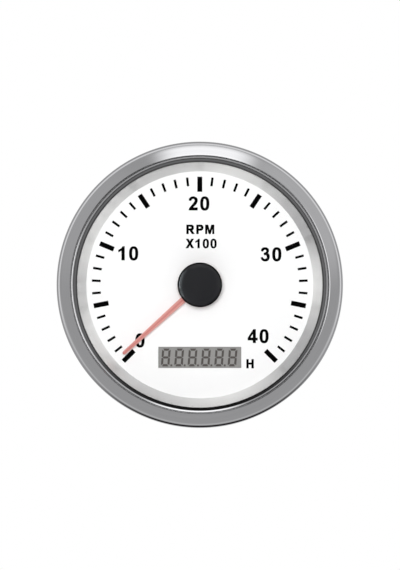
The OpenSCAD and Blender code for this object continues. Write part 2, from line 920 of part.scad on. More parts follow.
module connector_header() {
    cavity = [header_w - 2 * header_shell_t, header_h - 2 * header_shell_t];
    at = [0, -header_drop];
    latch_y = header_end_y - 4;
    color("#1d1e20")
        difference() {
            union() {
                plate(header_floor_y - header_floor_t, header_end_y)
                    rounded(header_w, header_h, 1, at);
                plate(header_flange_y, header_flange_y + header_flange_t)
                    rounded(header_flange_w, header_flange_h, 2, at);
                // The plug's latch snaps over a wedge on the shell's top
                translate([-2, 0, header_h / 2 - header_drop - 0.2])
                    rotate([90, 0, 90])
                        linear_extrude(4)
                            polygon([[latch_y, 0], [latch_y + 3, 0], [latch_y, 1.4]]);
            }
            plate(header_floor_y, header_end_y + over)
                rounded(cavity.x, cavity.y, 0.6, at);
            // Two keyways inside the shell's lower wall
            for (x = [-1, 1])
                plate(header_floor_y + 2, header_end_y + over)
                    block(1.2, 1.2, [x * cavity.x / 4, at.y - cavity.y / 2]);
            at_pins()
                translate([0, header_floor_y, 0])
                    cube([pin_w + 0.02, 3 * header_floor_t, pin_w + 0.02], center = true);
            for (x = [-1, 1])
                rod(header_flange_y - over, wall_y, 1.1, [x * header_screw_x, at.y]);
        }
}

module connector_pins()
    color("goldenrod")
        at_pins()
            translate([-pin_w / 2, board_y - pin_tail, -pin_w / 2])
                cube([pin_w, header_end_y - pin_recess - board_y + pin_tail, pin_w]);

module connector_seal()
    color("orangered")
        plate(wall_y - header_seal_t, wall_y)
            difference() {
                rounded(header_flange_w, header_flange_h, 2, [0, -header_drop]);
                rounded(header_w + 2 * clear, header_h + 2 * clear, 1, [0, -header_drop]);
                for (x = [-1, 1])
                    translate([x * header_screw_x, -header_drop])
                        circle(1.1);
            }

module header_screws() {
    head_t = 1.4;
    color("gainsboro")
        for (x = [-1, 1])
            translate([x * header_screw_x, 0, -header_drop])
                difference() {
                    union() {
                        rod(header_flange_y - head_t, header_flange_y, 1.9);
                        rod(header_flange_y - head_t / 2, wall_y + back_wall * 0.6, 0.88);
                    }
                    cross_recess(header_flange_y - head_t, 0.7, 2.2);
                }
}

module set_button() {
    at = [0, button_rise];
    end_y = case_depth + button_gap;
    color("#2b2c2e") {
        rod(plunger_y, end_y, rod_r, at);
        rod(end_y, end_y + button_head_t - 0.4, button_head_r, at);
        translate([0, end_y + button_head_t - 0.4, button_rise])
            rotate([-90, 0, 0])
                cylinder(h = 0.4, r1 = button_head_r, r2 = button_head_r - 0.4);
    }
}

module button_seal()
    color("#3a3a3a")
        tube(case_depth - button_seal_t, case_depth, button_seal_r, rod_r + running, [0, button_rise]);

module switch_body() {
    at = [0, button_rise];
    color("#303133")
        difference() {
            plate(board_back_y, board_back_y + switch_h)
                block(switch_w, switch_w, at);
            rod(switch_floor_y, board_back_y + switch_h + over, plunger_r + running, at);
        }
}

module switch_plunger()
    color("firebrick")
        rod(switch_floor_y + button_travel + 0.3, plunger_y, plunger_r, [0, button_rise]);

module breather()
    color("#4a4c50")
        rod(case_depth - breather_seat, case_depth + 0.3, breather_r, breather_at);

// Outline of an arch seen from above: open towards the panel, with two round corners
module arch(half_w, y0, y1, r) {
    translate([-half_w, y0])
        square([2 * half_w, y1 - r - y0]);
    translate([r - half_w, y0])
        square([2 * (half_w - r), y1 - y0]);
    for (x = [-1, 1])
        translate([x * (half_w - r), y1 - r])
            circle(r);
}

module clamp_bracket()
    color("silver")
        difference() {
            translate([0, 0, -strip_w / 2])
                linear_extrude(strip_w)
                    difference() {
                        arch(leg_x + strip_t, foot_gap, strap_back_y, bend_r + strip_t);
                        arch(leg_x, foot_gap - over, strap_y, bend_r);
                    }
            at_studs()
                rod(strap_y - over, strap_back_y + over, stud_r + 0.3);
        }

module lock_washers()
    color("gainsboro")
        at_studs()
            difference() {
                tube(strap_back_y, nut_y, washer_r, stud_r + 0.2);
                translate([0, strap_back_y - over, -0.4])
                    cube([washer_r + over, washer_t + 2 * over, 0.8]);
            }

// A knurled nut on the stud at x
module thumb_nut(x) {
    groove_r = 0.7;
    color("#2a2a2c")
        translate([x, 0, 0])
            difference() {
                union() {
                    rod(nut_y, nut_y + nut_h, nut_r - 1.4);
                    plate(nut_y + nut_collar_t, nut_y + nut_h)
                        difference() {
                            circle(nut_r);
                            for (i = [0:nut_grooves - 1])
                                translate(polar(nut_r + 0.2, 360 * i / nut_grooves))
                                    circle(groove_r);
                        }
                }
                rod(nut_y - over, nut_y + nut_h + over, stud_r + running);
            }
}

module thumb_nut_left()
    thumb_nut(-stud_span / 2);

module thumb_nut_right()
    thumb_nut(stud_span / 2);

bezel();
lens_seal();
lens();
trim_ring();
dial();
needle();
pointer_cap();
pointer_shaft();
light_guide();
lcd_glass();
lcd_holder();
zebra_strips();
circuit_board();
lamps();
microcontroller();
crystal();
regulator();
capacitors();
board_screws();
motor_front_shell();
motor_rear_shell();
stator();
coils();
motor_terminals();
rotor_magnet();
rotor_pinion();
rotor_arbor();
intermediate_wheel();
intermediate_arbor();
output_wheel();
case();
panel_gasket();
mounting_studs();
connector_header();
connector_pins();
connector_seal();
header_screws();
set_button();
button_seal();
switch_body();
switch_plunger();
breather();
clamp_bracket();
lock_washers();
thumb_nut_left();
thumb_nut_right();
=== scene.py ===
"""Looks of a round panel tachometer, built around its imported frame.

The dial faces -Y and the barrel's axis is the Y axis. Sizes are in millimetres and angles in degrees, apart
from those of the camera and the lamps, which are in metres.
"""

import json
from functools import partial
from math import copysign, cos, hypot, pi, radians, sin, tan

import bmesh
import bpy
from mathutils import Matrix, Vector


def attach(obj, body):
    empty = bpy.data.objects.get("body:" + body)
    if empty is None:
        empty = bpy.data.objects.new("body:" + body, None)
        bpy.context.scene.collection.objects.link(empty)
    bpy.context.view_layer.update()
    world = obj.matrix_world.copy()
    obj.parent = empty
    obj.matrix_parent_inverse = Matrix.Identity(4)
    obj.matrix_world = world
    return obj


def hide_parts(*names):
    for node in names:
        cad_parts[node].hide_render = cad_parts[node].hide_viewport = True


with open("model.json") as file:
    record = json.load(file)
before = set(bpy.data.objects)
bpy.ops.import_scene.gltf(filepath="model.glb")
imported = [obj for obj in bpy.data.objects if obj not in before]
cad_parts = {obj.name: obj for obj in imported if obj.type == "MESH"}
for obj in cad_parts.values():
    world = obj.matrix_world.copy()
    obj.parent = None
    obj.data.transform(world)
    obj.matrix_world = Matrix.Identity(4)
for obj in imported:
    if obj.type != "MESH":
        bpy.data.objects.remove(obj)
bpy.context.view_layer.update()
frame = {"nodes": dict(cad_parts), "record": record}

MM = 0.001
WHITE = (1, 1, 1, 1)
# The radius up to which a point of a half section lies on the axis
ON_AXIS_R = 1e-6
# Which setting of a node holds the mode that it works in
MODES = {"Math": "operation", "VectorMath": "operation", "MapRange": "interpolation_type", "Mix": "data_type"}

# Radii of the case, the bezel and what it holds
CASE_IN_R = 39.8
BEZEL_R = 47.0
SEAL_IN_R = 40.3
TRIM_FRONT_R = 40.2
DIAL_VIEW_R = 37.3
BORE_R = 41.2
FLANGE_R = 46.3
REGISTER_R = 42.5
DIAL_R = 39.3
LENS_R = 44.9

# Places along the axis, and the dial's thickness
BEZEL_BACK_Y = -1.6
FLANGE_BACK_Y = -2.2
FLANGE_FRONT_Y = -5.2
LENS_BACK_Y = -5.9
LENS_FRONT_Y = -7.9
SEAL_FRONT_Y = -8.6
CREST_Y = -10.0
DIAL_Y = 0.5
DIAL_T = 0.6
WALL_Y = 33.5
CASE_END_Y = 36.0

# Pointer
NEEDLE_FRONT_Y = -2.0
NEEDLE_BACK_Y = -1.2
NEEDLE_TIP_R = 34.0
NEEDLE_REST = 222.0
NEEDLE_ROOT_W = 2.07
SHAFT_R = 0.75
HUB_R = 6.55
CAP_R = 7.4
CAP_FRONT_Y = -4.6
CAP_END_Y = -1.0

# Display, with the depth of its figures, and the dial's ink
WINDOW_W = 27.3
WINDOW_H = 6.95
WINDOW_Z = -23.9
GLASS_Y = 1.3
SEGMENT_T = 0.02
INK_T = 0.03

# Studs, nuts, connector, set button and breather
STUD_X = 22.0
STUD_R = 2.0
STUD_END_Y = 60.0
NUT_Y = 42.2
NUT_H = 8.0
NUT_R = 6.5
PIN_W = 0.64
PIN_PITCH = 2.54
PIN_Z = -24.0
PIN_START_Y = 7.2
PIN_END_Y = 40.5
BUTTON_AT = (0, 30.5)
BREATHER_AT = (-14, 28)

# What the gloss mirrors, by the angle from the tent's own axis: (angle, level)
ZONES = [(0, 0.03), (3, 0.05), (7, 0.44), (12, 0.48), (60, 0.49), (85, 0.4), (110, 0.7), (180, 0.85)]
# The tent's own axis: its angle from the dial's axis, and its azimuth from the right
TENT_OFF, TENT_AROUND = 10, 135
# Sectors: (azimuth, half width of its core and of its edge, angles between which it starts and ends, level)
SECTORS = [
    (87.5, 10, 25, (3, 7), (24, 43), 1.22), (6, 12, 36, (6, 10), (14, 20), 1.25),
    (90, 92, 128, (38, 45), (50, 58), 0.6), (270, 60, 92, (31, 38), (42, 50), 0.24),
    (273, 8, 58, (37, 56), (74, 104), -0.5),
]
# Round patches, light and dark: (angle from the dial's axis, azimuth from the right, core, edge, level)
PATCHES = [(0, 0, 3, 8, -0.5), (27, 36, 8, 18, 0.17), (26, 150, 5, 16, 0.06)]
LEAST_LEVEL = 0.01
LIGHT_FROM_BELOW, LIGHT_FROM_ABOVE = 0.26, 0.33


def linear(code):
    """An sRGB hex colour as linear RGBA."""
    channels = [int(code[i:i + 2], 16) / 255 for i in (1, 3, 5)]
    return [c / 12.92 if c <= 0.04045 else ((c + 0.055) / 1.055) ** 2.4 for c in channels] + [1.0]


def per(size):
    """The scale of a pattern whose grain has the size in mm."""
    return 1000 / size


def add_node(tree, kind, inputs=(), **settings):
    """A node with its settings and its inputs, by name or in order: each a value, an output or a node.

    The kind may be followed by the mode that such a node works in.
    """
    kind, *mode = kind.split()
    node = tree.nodes.new(kind if kind.startswith(("Geometry", "NodeGroup")) else "ShaderNode" + kind)
    if mode:
        settings[MODES[kind]] = mode[0]
    for name, value in settings.items():
        setattr(node, name, value)
    named = isinstance(inputs, dict)
    sockets = [node.inputs[key] for key in inputs] if named else [s for s in node.inputs if s.enabled]
    for socket, value in zip(sockets, inputs.values() if named else inputs):
        if isinstance(value, bpy.types.Node):
            value = next(output for output in value.outputs if output.enabled)
        if isinstance(value, bpy.types.NodeSocket):
            tree.links.new(value, socket)
        else:
            socket.default_value = value
    return node


def from_axis(add, place, across=(1, 0, 1)):
    """The part of a place that lies across the axis, and its length."""
    flat = add("VectorMath MULTIPLY", [place, across])
    return flat, add("VectorMath LENGTH", [flat])


def stepped(add, share, steps):
    """Grey levels along a share of half a turn, from a list of (degrees, level)."""
    ramp = add("ValToRGB", [share])
    marks = ramp.color_ramp.elements
    while len(marks) < len(steps):
        marks.new(1.0)
    for mark, (degrees, level) in zip(marks, steps):
        mark.position = degrees / 180
        mark.color = (level, level, level, 1)
    return ramp


def placed(name, data):
    """A new object in the scene."""
    thing = bpy.data.objects.new(name, data)
    bpy.context.scene.collection.objects.link(thing)
    return thing


def place_camera():
    """Square to the dial from 3 m, with the photograph's frame of 187.1 mm by 131.3 mm at the bezel."""
    distance, rim_y, frame_height, sensor = 3.0, -0.007, 0.18713, 36.0
    aim_x, aim_z = 0.00007, -0.00006
    data = bpy.data.cameras.new("camera")
    data.sensor_width = sensor
    data.lens = sensor * (distance + rim_y) / frame_height
    data.clip_end = 100.0
    camera = placed("camera", data)
    camera.location = (aim_x, -distance, aim_z)
    camera.rotation_euler = (radians(90), 0, 0)
    bpy.context.scene.camera = camera


def aimed(off, around):
    """A direction at an angle off the dial's axis, towards an azimuth that counts from the right."""
    off, around = radians(off), radians(around)
    return (sin(off) * cos(around), -cos(off), sin(off) * sin(around))


def half_turns(add, look, axis):
    """How far a direction stands off an axis, as a share of half a turn."""
    near = add("VectorMath DOT_PRODUCT", [look, axis])
    angle = add("Math ARCCOSINE", [near])
    return add("Math DIVIDE", [angle, pi])


def lobe(add, look, toward, core, edge, strength):
    """A strength that holds up to core degrees from a direction and fades to nothing at edge degrees."""
    near = add("VectorMath DOT_PRODUCT", [look, toward])
    least, most = cos(radians(edge)), cos(radians(core))
    return add("MapRange SMOOTHSTEP", [near, least, most, 0.0, strength])


def studio_world():
    """A plain light tent: even light on every surface, and dark and light zones for what gloss mirrors.

    The zones are a dark opening and a grey field that the bezel's face mirrors. The sectors are a softbox at
    the top and one at the right, a bright ring that the rolled rim catches, nearer and fainter below, and a
    dark table edge there.
    """
    world = bpy.data.worlds.new("studio")
    bpy.context.scene.world = world
    world.use_nodes = True
    world.node_tree.nodes.clear()
    add = partial(add_node, world.node_tree)
    look = add("TexCoord").outputs["Generated"]
    level = stepped(add, half_turns(add, look, aimed(TENT_OFF, TENT_AROUND)), ZONES)
    away = half_turns(add, look, aimed(0, 0))
    flat = from_axis(add, look)[0]
    course = add("VectorMath NORMALIZE", [flat])
    glows = []
    for around, core, edge, start, end, strength in SECTORS:
        glow = lobe(add, course, aimed(90, around), core, edge, strength)
        for none, full in (start, end[::-1]):
            step = add("MapRange SMOOTHSTEP", [away, none / 180, full / 180])
            glow = add("Math MULTIPLY", [glow, step])
        glows.append(glow)
    for off, around, core, edge, strength in PATCHES:
        glows.append(lobe(add, look, aimed(off, around), core, edge, strength))
    for glow in glows:
        level = add("Mix RGBA", [1.0, level, glow], blend_type="ADD")
    level = add("VectorMath MAXIMUM", [level, [LEAST_LEVEL] * 3])
    rays = add("LightPath").outputs
    up = add("SeparateXYZ", [look]).outputs["Z"]
    plain = add("MapRange", [up, -1.0, 1.0, LIGHT_FROM_BELOW, LIGHT_FROM_ABOVE])
    gloss = add("Mix RGBA", [rays["Is Glossy Ray"], plain, level])
    seen = add("Math MAXIMUM", [rays["Is Camera Ray"], rays["Is Transmission Ray"]])
    shown = add("Mix RGBA", [seen, gloss, WHITE])
    add("OutputWorld", [add("Background", [shown, 1.0])])


def softbox(name, place, size, power):
    """A square lamp that faces the object's middle."""
    data = bpy.data.lights.new(name, "AREA")
    data.size = size
    data.energy = power
    lamp = placed(name, data)
    lamp.location = place
    lamp.rotation_euler = (-Vector(place)).to_track_quat("-Z", "Y").to_euler()
    lamp.visible_glossy = False


def cap_card():
    """A small lit card close in front, for the cap's gloss only: it puts an arc of light on its left edge."""
    data = bpy.data.lights.new("cap_card", "AREA")
    data.shape = "RECTANGLE"
    data.size, data.size_y = 0.014, 0.062
    data.energy = 0.055
    data.color = (0.86, 0.96, 1.0)
    lamp = placed("cap_card", data)
    lamp.location = (-0.049, -0.2, 0.002)
    lamp.rotation_euler = (radians(90), 0, 0)
    lamp.visible_camera = False
    lamp.visible_diffuse = False
    lamp.visible_shadow = False
    lit = bpy.data.collections.new("cap_card_lights")
    lamp.light_linking.receiver_collection = lit
    return lit


place_camera()
studio_world()
softbox("front_lamp", (-0.2, -3.3, 0.4), 1.3, 90.0)
softbox("back_lamp", (0.6, 2.2, 0.8), 1.0, 38.0)
softbox("left_lamp", (-1.7, 0.4, 0.7), 0.9, 22.0)
softbox("right_lamp", (1.7, 0.4, 0.7), 0.9, 20.0)
card_lights = cap_card()
bpy.context.scene.view_settings.view_transform = "Standard"


# A noise takes a place, a scale and a detail, and a range takes a value, its two ends and what they become


def new_material(name):
    """An empty material, what adds its nodes, and the place that its patterns read."""
    material = bpy.data.materials.new(name)
    material.use_nodes = True
    material.node_tree.nodes.clear()
    add = partial(add_node, material.node_tree)
    return material, add, add("TexCoord").outputs["Object"]


def closed(material, shader):
    """Joins a shader to the material's output."""
    add_node(material.node_tree, "OutputMaterial", [shader])
    return material


def surfaced(material, share, low, high, rough, relief=None, depth=0.0, metallic=0.0, specular=0.5):
    """Closes a material: its colour runs from low to high with the share, and its relief is depth mm deep."""
    add = partial(add_node, material.node_tree)
    colour = add("Mix RGBA", [share, linear(low), linear(high)])
    values = {"Base Color": colour, "Metallic": metallic, "Roughness": rough, "Specular IOR Level": specular}
    if relief:
        values["Normal"] = add("Bump", {"Strength": 1.0, "Distance": depth * MM, "Height": relief})
    return closed(material, add("BsdfPrincipled", values))


def moulded(name, base, drift, grain, depth, rough, spread, specular=0.5):
    """A moulded piece: a fine spark-eroded grain, with a slow drift of colour from the flow of the melt."""
    material, add, place = new_material(name)
    flow_size, low, high = 14, 0.3, 0.7
    pits = add("TexNoise", [place, per(grain), 3.0])
    flow = add("TexNoise", [place, per(flow_size), 2.0])
    gloss = add("MapRange", [pits, low, high, rough - spread, rough + spread])
    return surfaced(material, flow, base, drift, gloss, pits, depth, specular=specular)


def stroked(name, base, drift, stroke, depth, rough, spread):
    """A metal with fine strokes, whose size along X, Y and Z is given in mm, and a faint stain."""
    material, add, place = new_material(name)
    stain_size, low, high = 9, 0.25, 0.75
    drawn = add("Mapping", {"Vector": place, "Scale": [per(size) for size in stroke]})
    lines = add("TexNoise", [drawn, 1.0, 4.0])
    stain = add("TexNoise", [place, per(stain_size), 3.0])
    gloss = add("MapRange", [lines, low, high, rough - spread, rough + spread])
    return surfaced(material, stain, base, drift, gloss, lines, depth, metallic=1.0)


def lathe_lines(add, place, fine):
    """Noise that lies in long lines round the axis: fine across them, and 16 mm long."""
    length = 16
    around = add("VectorMath MULTIPLY_ADD", [place, [per(length)] * 3, fine])
    return add("TexNoise", [around, 1.0, 3.0])


def spun_metal(name, base, drift, line, depth, rough, spread):
    """A metal finished in a lathe: lines of the given width in mm run round the barrel's axis."""
    material, add, place = new_material(name)
    haze_size, low, high = 12, 0.1, 0.45
    along = add("SeparateXYZ", [place]).outputs["Y"]
    rings = add("CombineXYZ", [from_axis(add, place)[1], along])
    fine = add("VectorMath MULTIPLY", [rings, [per(line)] * 3])
    lines = lathe_lines(add, place, fine)
    haze = add("TexNoise", [place, per(haze_size), 3.0])
    both = add("Math MULTIPLY", [lines, haze])
    gloss = add("MapRange", [both, low, high, rough - spread, rough + spread])
    return surfaced(material, lines, base, drift, gloss, lines, depth, metallic=1.0)


def flakes_and_painted_sheen(name, light, dark, line):
    """Silver paint, spun on: soft light and dark sectors, alike above and below, are a painted sheen.

    The brush leaves lines of the given width in mm round the axis. A sector is an angle from the right and
    the level there.
    """
    material, add, place = new_material(name)
    # Painted sheen: light and dark sectors stand in for the highlights that a spun finish catches
    painted_sheen_sectors = [(0, 1.0), (30, 0.0), (75, 1.0), (116, 0.45), (157, 1.0), (180, 0.45)]
    grain, depth = 0.16, 0.004
    parts = add("SeparateXYZ", [place]).outputs
    fine = add("Math MULTIPLY", [from_axis(add, place)[1], per(line)])
    lines = lathe_lines(add, place, fine)
    turn = add("Math ARCTAN2", [parts["Z"], parts["X"]])
    aside = add("Math ABSOLUTE", [turn])
    share = add("Math DIVIDE", [aside, pi])
    ramp = stepped(add, share, painted_sheen_sectors)
    ramp.color_ramp.interpolation = "EASE"
    grained = add("Math MULTIPLY_ADD", [lines, grain, ramp])
    level = add("MapRange", [grained, grain / 2, 1 + grain / 2])
    gloss = add("MapRange", {"Value": lines, "To Min": 0.44, "To Max": 0.56})
    return surfaced(material, level, dark, light, gloss, lines, depth, metallic=0.8)


def window_glass(name):
    """Clear float glass: light goes straight through, and what its gloss sends back grows at the edge."""
    material, add, place = new_material(name)
    film_size, low, high, most_haze, index = 8, 0.35, 0.7, 0.06, 1.45
    film = add("TexNoise", [place, per(film_size), 4.0])
    haze = add("MapRange", [film, low, high, 0.0, most_haze])
    clear = add("BsdfTransparent", [linear("#FEFEFE")])
    shine = add("BsdfGlossy", {"Color": linear("#FFFFFF"), "Roughness": haze})
    side = add("NewGeometry").outputs["Backfacing"]
    outer = add("Math SUBTRACT", [1.0, side])
    share = add("Math MULTIPLY", [add("Fresnel", [index]), outer])
    return closed(material, add("MixShader", [share, clear, shine]))


def printed_ink(name, base, drift):
    """Screen printed ink: flat black with the faint weave of the screen, 0.25 mm from thread to thread."""
    material, add, place = new_material(name)
    thread, depth, rough = 0.25, 0.01, 0.6
    weave = add("TexNoise", [place, per(thread), 1.0])
    return surfaced(material, weave, base, drift, rough, weave, depth, specular=0.0)


def rubber_painted_sheen_and_shade(name, base, painted_sheen_colour):
    """Black rubber with a painted sheen: a pale painted highlight along its crest, and painted shade that
    darkens it towards the bottom.
    """
    material, add, place = new_material(name)
    cloud_size, grain_size, depth, rough = 3, 0.35, 0.015, 0.65
    ragged, shaded_z, lit_z = 6, -39, -12
    crest_r, crest_half, crest_end, off_crest = SEAL_IN_R + 0.75, 0.15, 0.5, 0.4
    cloud = add("TexNoise", [place, per(cloud_size), 3.0])
    grain = add("TexNoise", [place, per(grain_size), 2.0])
    # Painted shade: the rubber darkens towards the bottom, by height
    up = add("SeparateXYZ", [place]).outputs["Z"]
    height = add("Math MULTIPLY_ADD", [cloud, ragged * MM, up])
    left = add("MapRange SMOOTHSTEP", [height, shaded_z * MM, lit_z * MM])
    # Painted highlight: the pale sheen is strongest along the crest
    aside = add("Math SUBTRACT", [from_axis(add, place)[1], crest_r * MM])
    far = add("Math ABSOLUTE", [aside])
    crest = add("MapRange SMOOTHSTEP", [far, crest_half * MM, crest_end * MM, 1.0, off_crest])
    share = add("Math MULTIPLY", [left, crest])
    return surfaced(material, share, base, painted_sheen_colour, rough, grain, depth, specular=0.12)


def ridged_acrylic(name, flank, ridge):
    """Fluorescent acrylic, moulded with a low ridge along the needle, where the colour looks deeper."""
    material, add, place = new_material(name)
    haze_size, ridge_half, ridge_end = 2.5, 0.15, 0.45
    along = add("Mapping", {"Vector": place, "Rotation": (0, radians(NEEDLE_REST), 0)})
    across = add("SeparateXYZ", [along]).outputs["Z"]
    aside = add("Math ABSOLUTE", [across])
    share = add("MapRange SMOOTHSTEP", [aside, ridge_half * MM, ridge_end * MM, 1.0, 0.0])
    haze = add("TexNoise", [place, per(haze_size), 3.0])
    gloss = add("MapRange", {"Value": haze, "To Min": 0.3, "To Max": 0.42})
    return surfaced(material, share, flank, ridge, gloss, specular=0.4)


# Moulded finishes: name, two colours, grain and its depth in mm, roughness, its spread, specular level
# Stroked metals: the same, with the stroke's size along X, Y and Z in place of the grain
finishes = {
    "polished_steel": spun_metal("buffed_stainless", "#CDCDCF", "#C5C5C7", 0.35, 0.001, 0.085, 0.03),
    "satin_silver": flakes_and_painted_sheen("silver_paint_painted_sheen", "#F2F2F1", "#BFBFC0", 0.22),
    "seal_rubber": moulded("nitrile_rubber", "#2C2C2E", "#242426", 0.35, 0.02, 0.5, 0.08),
    "lens_glass": window_glass("float_glass"),
    "dial_white": moulded("white_dial_enamel", "#FAFAFA", "#F8F8F8", 0.3, 0.004, 0.55, 0.05, 0.2),
    "needle_red": ridged_acrylic("fluorescent_red_acrylic", "#D89992", "#C97E79"),
    "cap_black": moulded("black_abs", "#1E1E20", "#1B1B1E", 0.4, 0.002, 0.2, 0.04, 0.3),
    "display_glass": moulded("grey_polariser", "#908F8D", "#939290", 0.35, 0.003, 0.4, 0.06, 0.3),
    "guide_white": moulded("opal_acrylic", "#F1F2EF", "#ECEDEA", 0.5, 0.005, 0.3, 0.05),
    "board_green": moulded("solder_mask", "#1F5A35", "#1A4F2E", 0.6, 0.01, 0.3, 0.06),
    "lamp_resin": moulded("lamp_resin", "#F3EBC4", "#F6F0D2", 0.2, 0.003, 0.25, 0.05),
    "chip_epoxy": moulded("chip_epoxy", "#26272A", "#2B2C2E", 0.15, 0.006, 0.6, 0.08),
    "can_metal": stroked("drawn_aluminium_can", "#C9CACB", "#BEC0C2", (0.2, 4, 0.2), 0.003, 0.28, 0.06),
    "plated_steel": stroked("zinc_plate", "#C3C6C8", "#B4B8BC", (0.3, 0.3, 0.3), 0.005, 0.33, 0.08),
    "stud_steel": stroked("zinc_plated_stud", "#C6C7C6", "#B9BBBC", (0.2, 0.2, 0.2), 0.004, 0.28, 0.08),
    "bracket_steel": stroked("galvanised_strip", "#BFC2C4", "#AEB2B5", (6, 0.25, 0.25), 0.006, 0.36, 0.08),
    "arbor_steel": stroked("ground_steel", "#B9BBBD", "#AFB1B4", (0.1, 0.8, 0.1), 0.002, 0.22, 0.05),
    "motor_shell": moulded("grey_acetal", "#D5D6D4", "#CDCECC", 0.5, 0.01, 0.5, 0.06),
    "core_iron": stroked("stamped_core_iron", "#8E8F90", "#7F8082", (3, 0.3, 0.3), 0.006, 0.45, 0.08),
    "magnet_ferrite": moulded("sintered_ferrite", "#3B3C40", "#323337", 0.2, 0.02, 0.7, 0.08),
    "coil_copper": stroked("enamelled_copper", "#B26A3C", "#A45C31", (20, 20, 0.22), 0.05, 0.32, 0.08),
    "gear_plastic": moulded("natural_acetal", "#ECE9DC", "#E6E2D3", 0.3, 0.004, 0.4, 0.05),
    "pin_brass": stroked("tinned_brass", "#D3B36A", "#C8A85E", (0.1, 1.5, 0.1), 0.002, 0.25, 0.06),
    "case_black": moulded("black_pbt", "#232426", "#1C1D1F", 0.9, 0.06, 0.5, 0.1),
    "header_black": moulded("glass_filled_nylon", "#1D1E20", "#242527", 0.4, 0.02, 0.5, 0.08),
    "silicone_orange": moulded("silicone_rubber", "#D9582C", "#CF5127", 0.4, 0.01, 0.48, 0.06),
    "button_black": moulded("gloss_abs", "#2A2B2D", "#252628", 0.5, 0.006, 0.3, 0.05),
    "plunger_red": moulded("red_acetal", "#A52A26", "#9C2521", 0.4, 0.006, 0.38, 0.05),
    "membrane_grey": moulded("porous_membrane", "#5A5C60", "#4C4E52", 0.25, 0.05, 0.8, 0.08),
    "nut_nylon": moulded("black_nylon", "#27282A", "#212224", 0.5, 0.02, 0.5, 0.08),
}
dial_ink = printed_ink("dial_ink", "#030303", "#080808")
segment_ink = printed_ink("segment_dye", "#54504E", "#5B5856")
# Near-black paint for the cap's skirt: painted shade round the cap's edge
skirt_painted_shade = printed_ink("matt_black_painted_shade", "#040404", "#0A0A0A")
# The lens seal's rubber, with a painted highlight along its crest and painted shade towards its bottom
lens_rubber = rubber_painted_sheen_and_shade("nitrile_painted_sheen_and_shade", "#060606", "#5A5A5B")

for entry in frame["record"]["materials"]:
    for node in entry.get("nodes", []):
        data = frame["nodes"][node].data
        data.materials.clear()
        data.materials.append(finishes[entry["slot"]])


def link(name, mesh, finish, angle=32):
    """A shown object from a finished mesh, smooth but for edges sharper than the angle."""
    mesh.name = name
    mesh.materials.clear()
    mesh.materials.append(finish)
    for face in mesh.polygons:
        face.use_smooth = True
    mesh.set_sharp_from_angle(angle=radians(angle))
    return placed(name, mesh)


def evaluated_mesh(piece):
    """A piece's final mesh, with its modifiers worked out."""
    bpy.context.view_layer.update()
    graph = bpy.context.evaluated_depsgraph_get()
    return bpy.data.meshes.new_from_object(piece.evaluated_get(graph))


def worked(data, kind=None, inputs=(), **settings):
    """The mesh of some data, with a modifier worked into it.

    The settings are the modifier's own, and the inputs are pairs of an identifier and a value for its tree.
    """
    holder = placed("holder", data)
    if kind:
        step = holder.modifiers.new("step", kind)
        for name, value in settings.items():
            setattr(step, name, value)
        for identifier, value in inputs:
            step[identifier] = value
    mesh = evaluated_mesh(holder)
    bpy.data.objects.remove(holder)
    return mesh


def make_piece(name, mesh, slot, node=None, body="root", finish=None, angle=32):
    """A piece that rides on a body, takes its finish from a slot of the record, and may stand for a node.

    Its normals are weighted by area, so that flat faces shade flat up to their rounded edges.
    """
    piece = link(name, mesh, finish or finishes[slot], angle)
    weighted = piece.modifiers.new("normals", "WEIGHTED_NORMAL")
    weighted.keep_sharp = True
    piece.data = evaluated_mesh(piece)
    piece.modifiers.clear()
    if node:
        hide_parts(node)
    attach(piece, body)
    return piece


def arc(centre, radius, start, end):
    """Points on an arc of a half section."""
    steps = 8
    turns = [radians(start + (end - start) * i / steps) for i in range(steps + 1)]
    return [(centre[0] + radius * cos(t), centre[1] + radius * sin(t)) for t in turns]


def walk(start, tilt, arcs):
    """Points of a half section from its start, along arcs of (radius, tilt that the arc ends at).

    The tilt is the angle of the surface's normal from the axis, outwards.
    """
    points = [start]
    for radius, last in arcs:
        r, y = points[-1]
        count = max(2, round(abs(last - tilt) / 5))
        for k in range(1, count + 1):
            turn = tilt + (last - tilt) * k / count
            points.append((
                r + radius * (sin(radians(turn)) - sin(radians(tilt))),
                y + radius * (cos(radians(tilt)) - cos(radians(turn))),
            ))
        tilt = last
    return points


def softened(outline, edge):
    """A closed outline whose sharp corners are rounded by the length edge."""
    steps, least_bend, most_share = 4, 25, 0.45
    rounded = []
    for i, place in enumerate(outline):
        corner = Vector(place)
        before = Vector(outline[i - 1]) - corner
        after = Vector(outline[(i + 1) % len(outline)]) - corner
        bend = pi - before.angle(after)
        reach = min(edge, before.length * most_share, after.length * most_share)
        if bend < radians(least_bend) or corner.x < ON_AXIS_R:
            rounded.append(tuple(corner))
            continue
        start = corner + before.normalized() * reach
        end = corner + after.normalized() * reach
        for k in range(steps + 1):
            t = k / steps
            rounded.append(tuple(start * (1 - t) ** 2 + corner * 2 * t * (1 - t) + end * t ** 2))
    return rounded


def filled(work, outwards=True):
    """A mesh from what bmesh has made, with its faces turned outwards."""
    if outwards:
        bmesh.ops.recalc_face_normals(work, faces=work.faces)
    mesh = bpy.data.meshes.new("made")
    work.to_mesh(mesh)
    work.free()
    return mesh


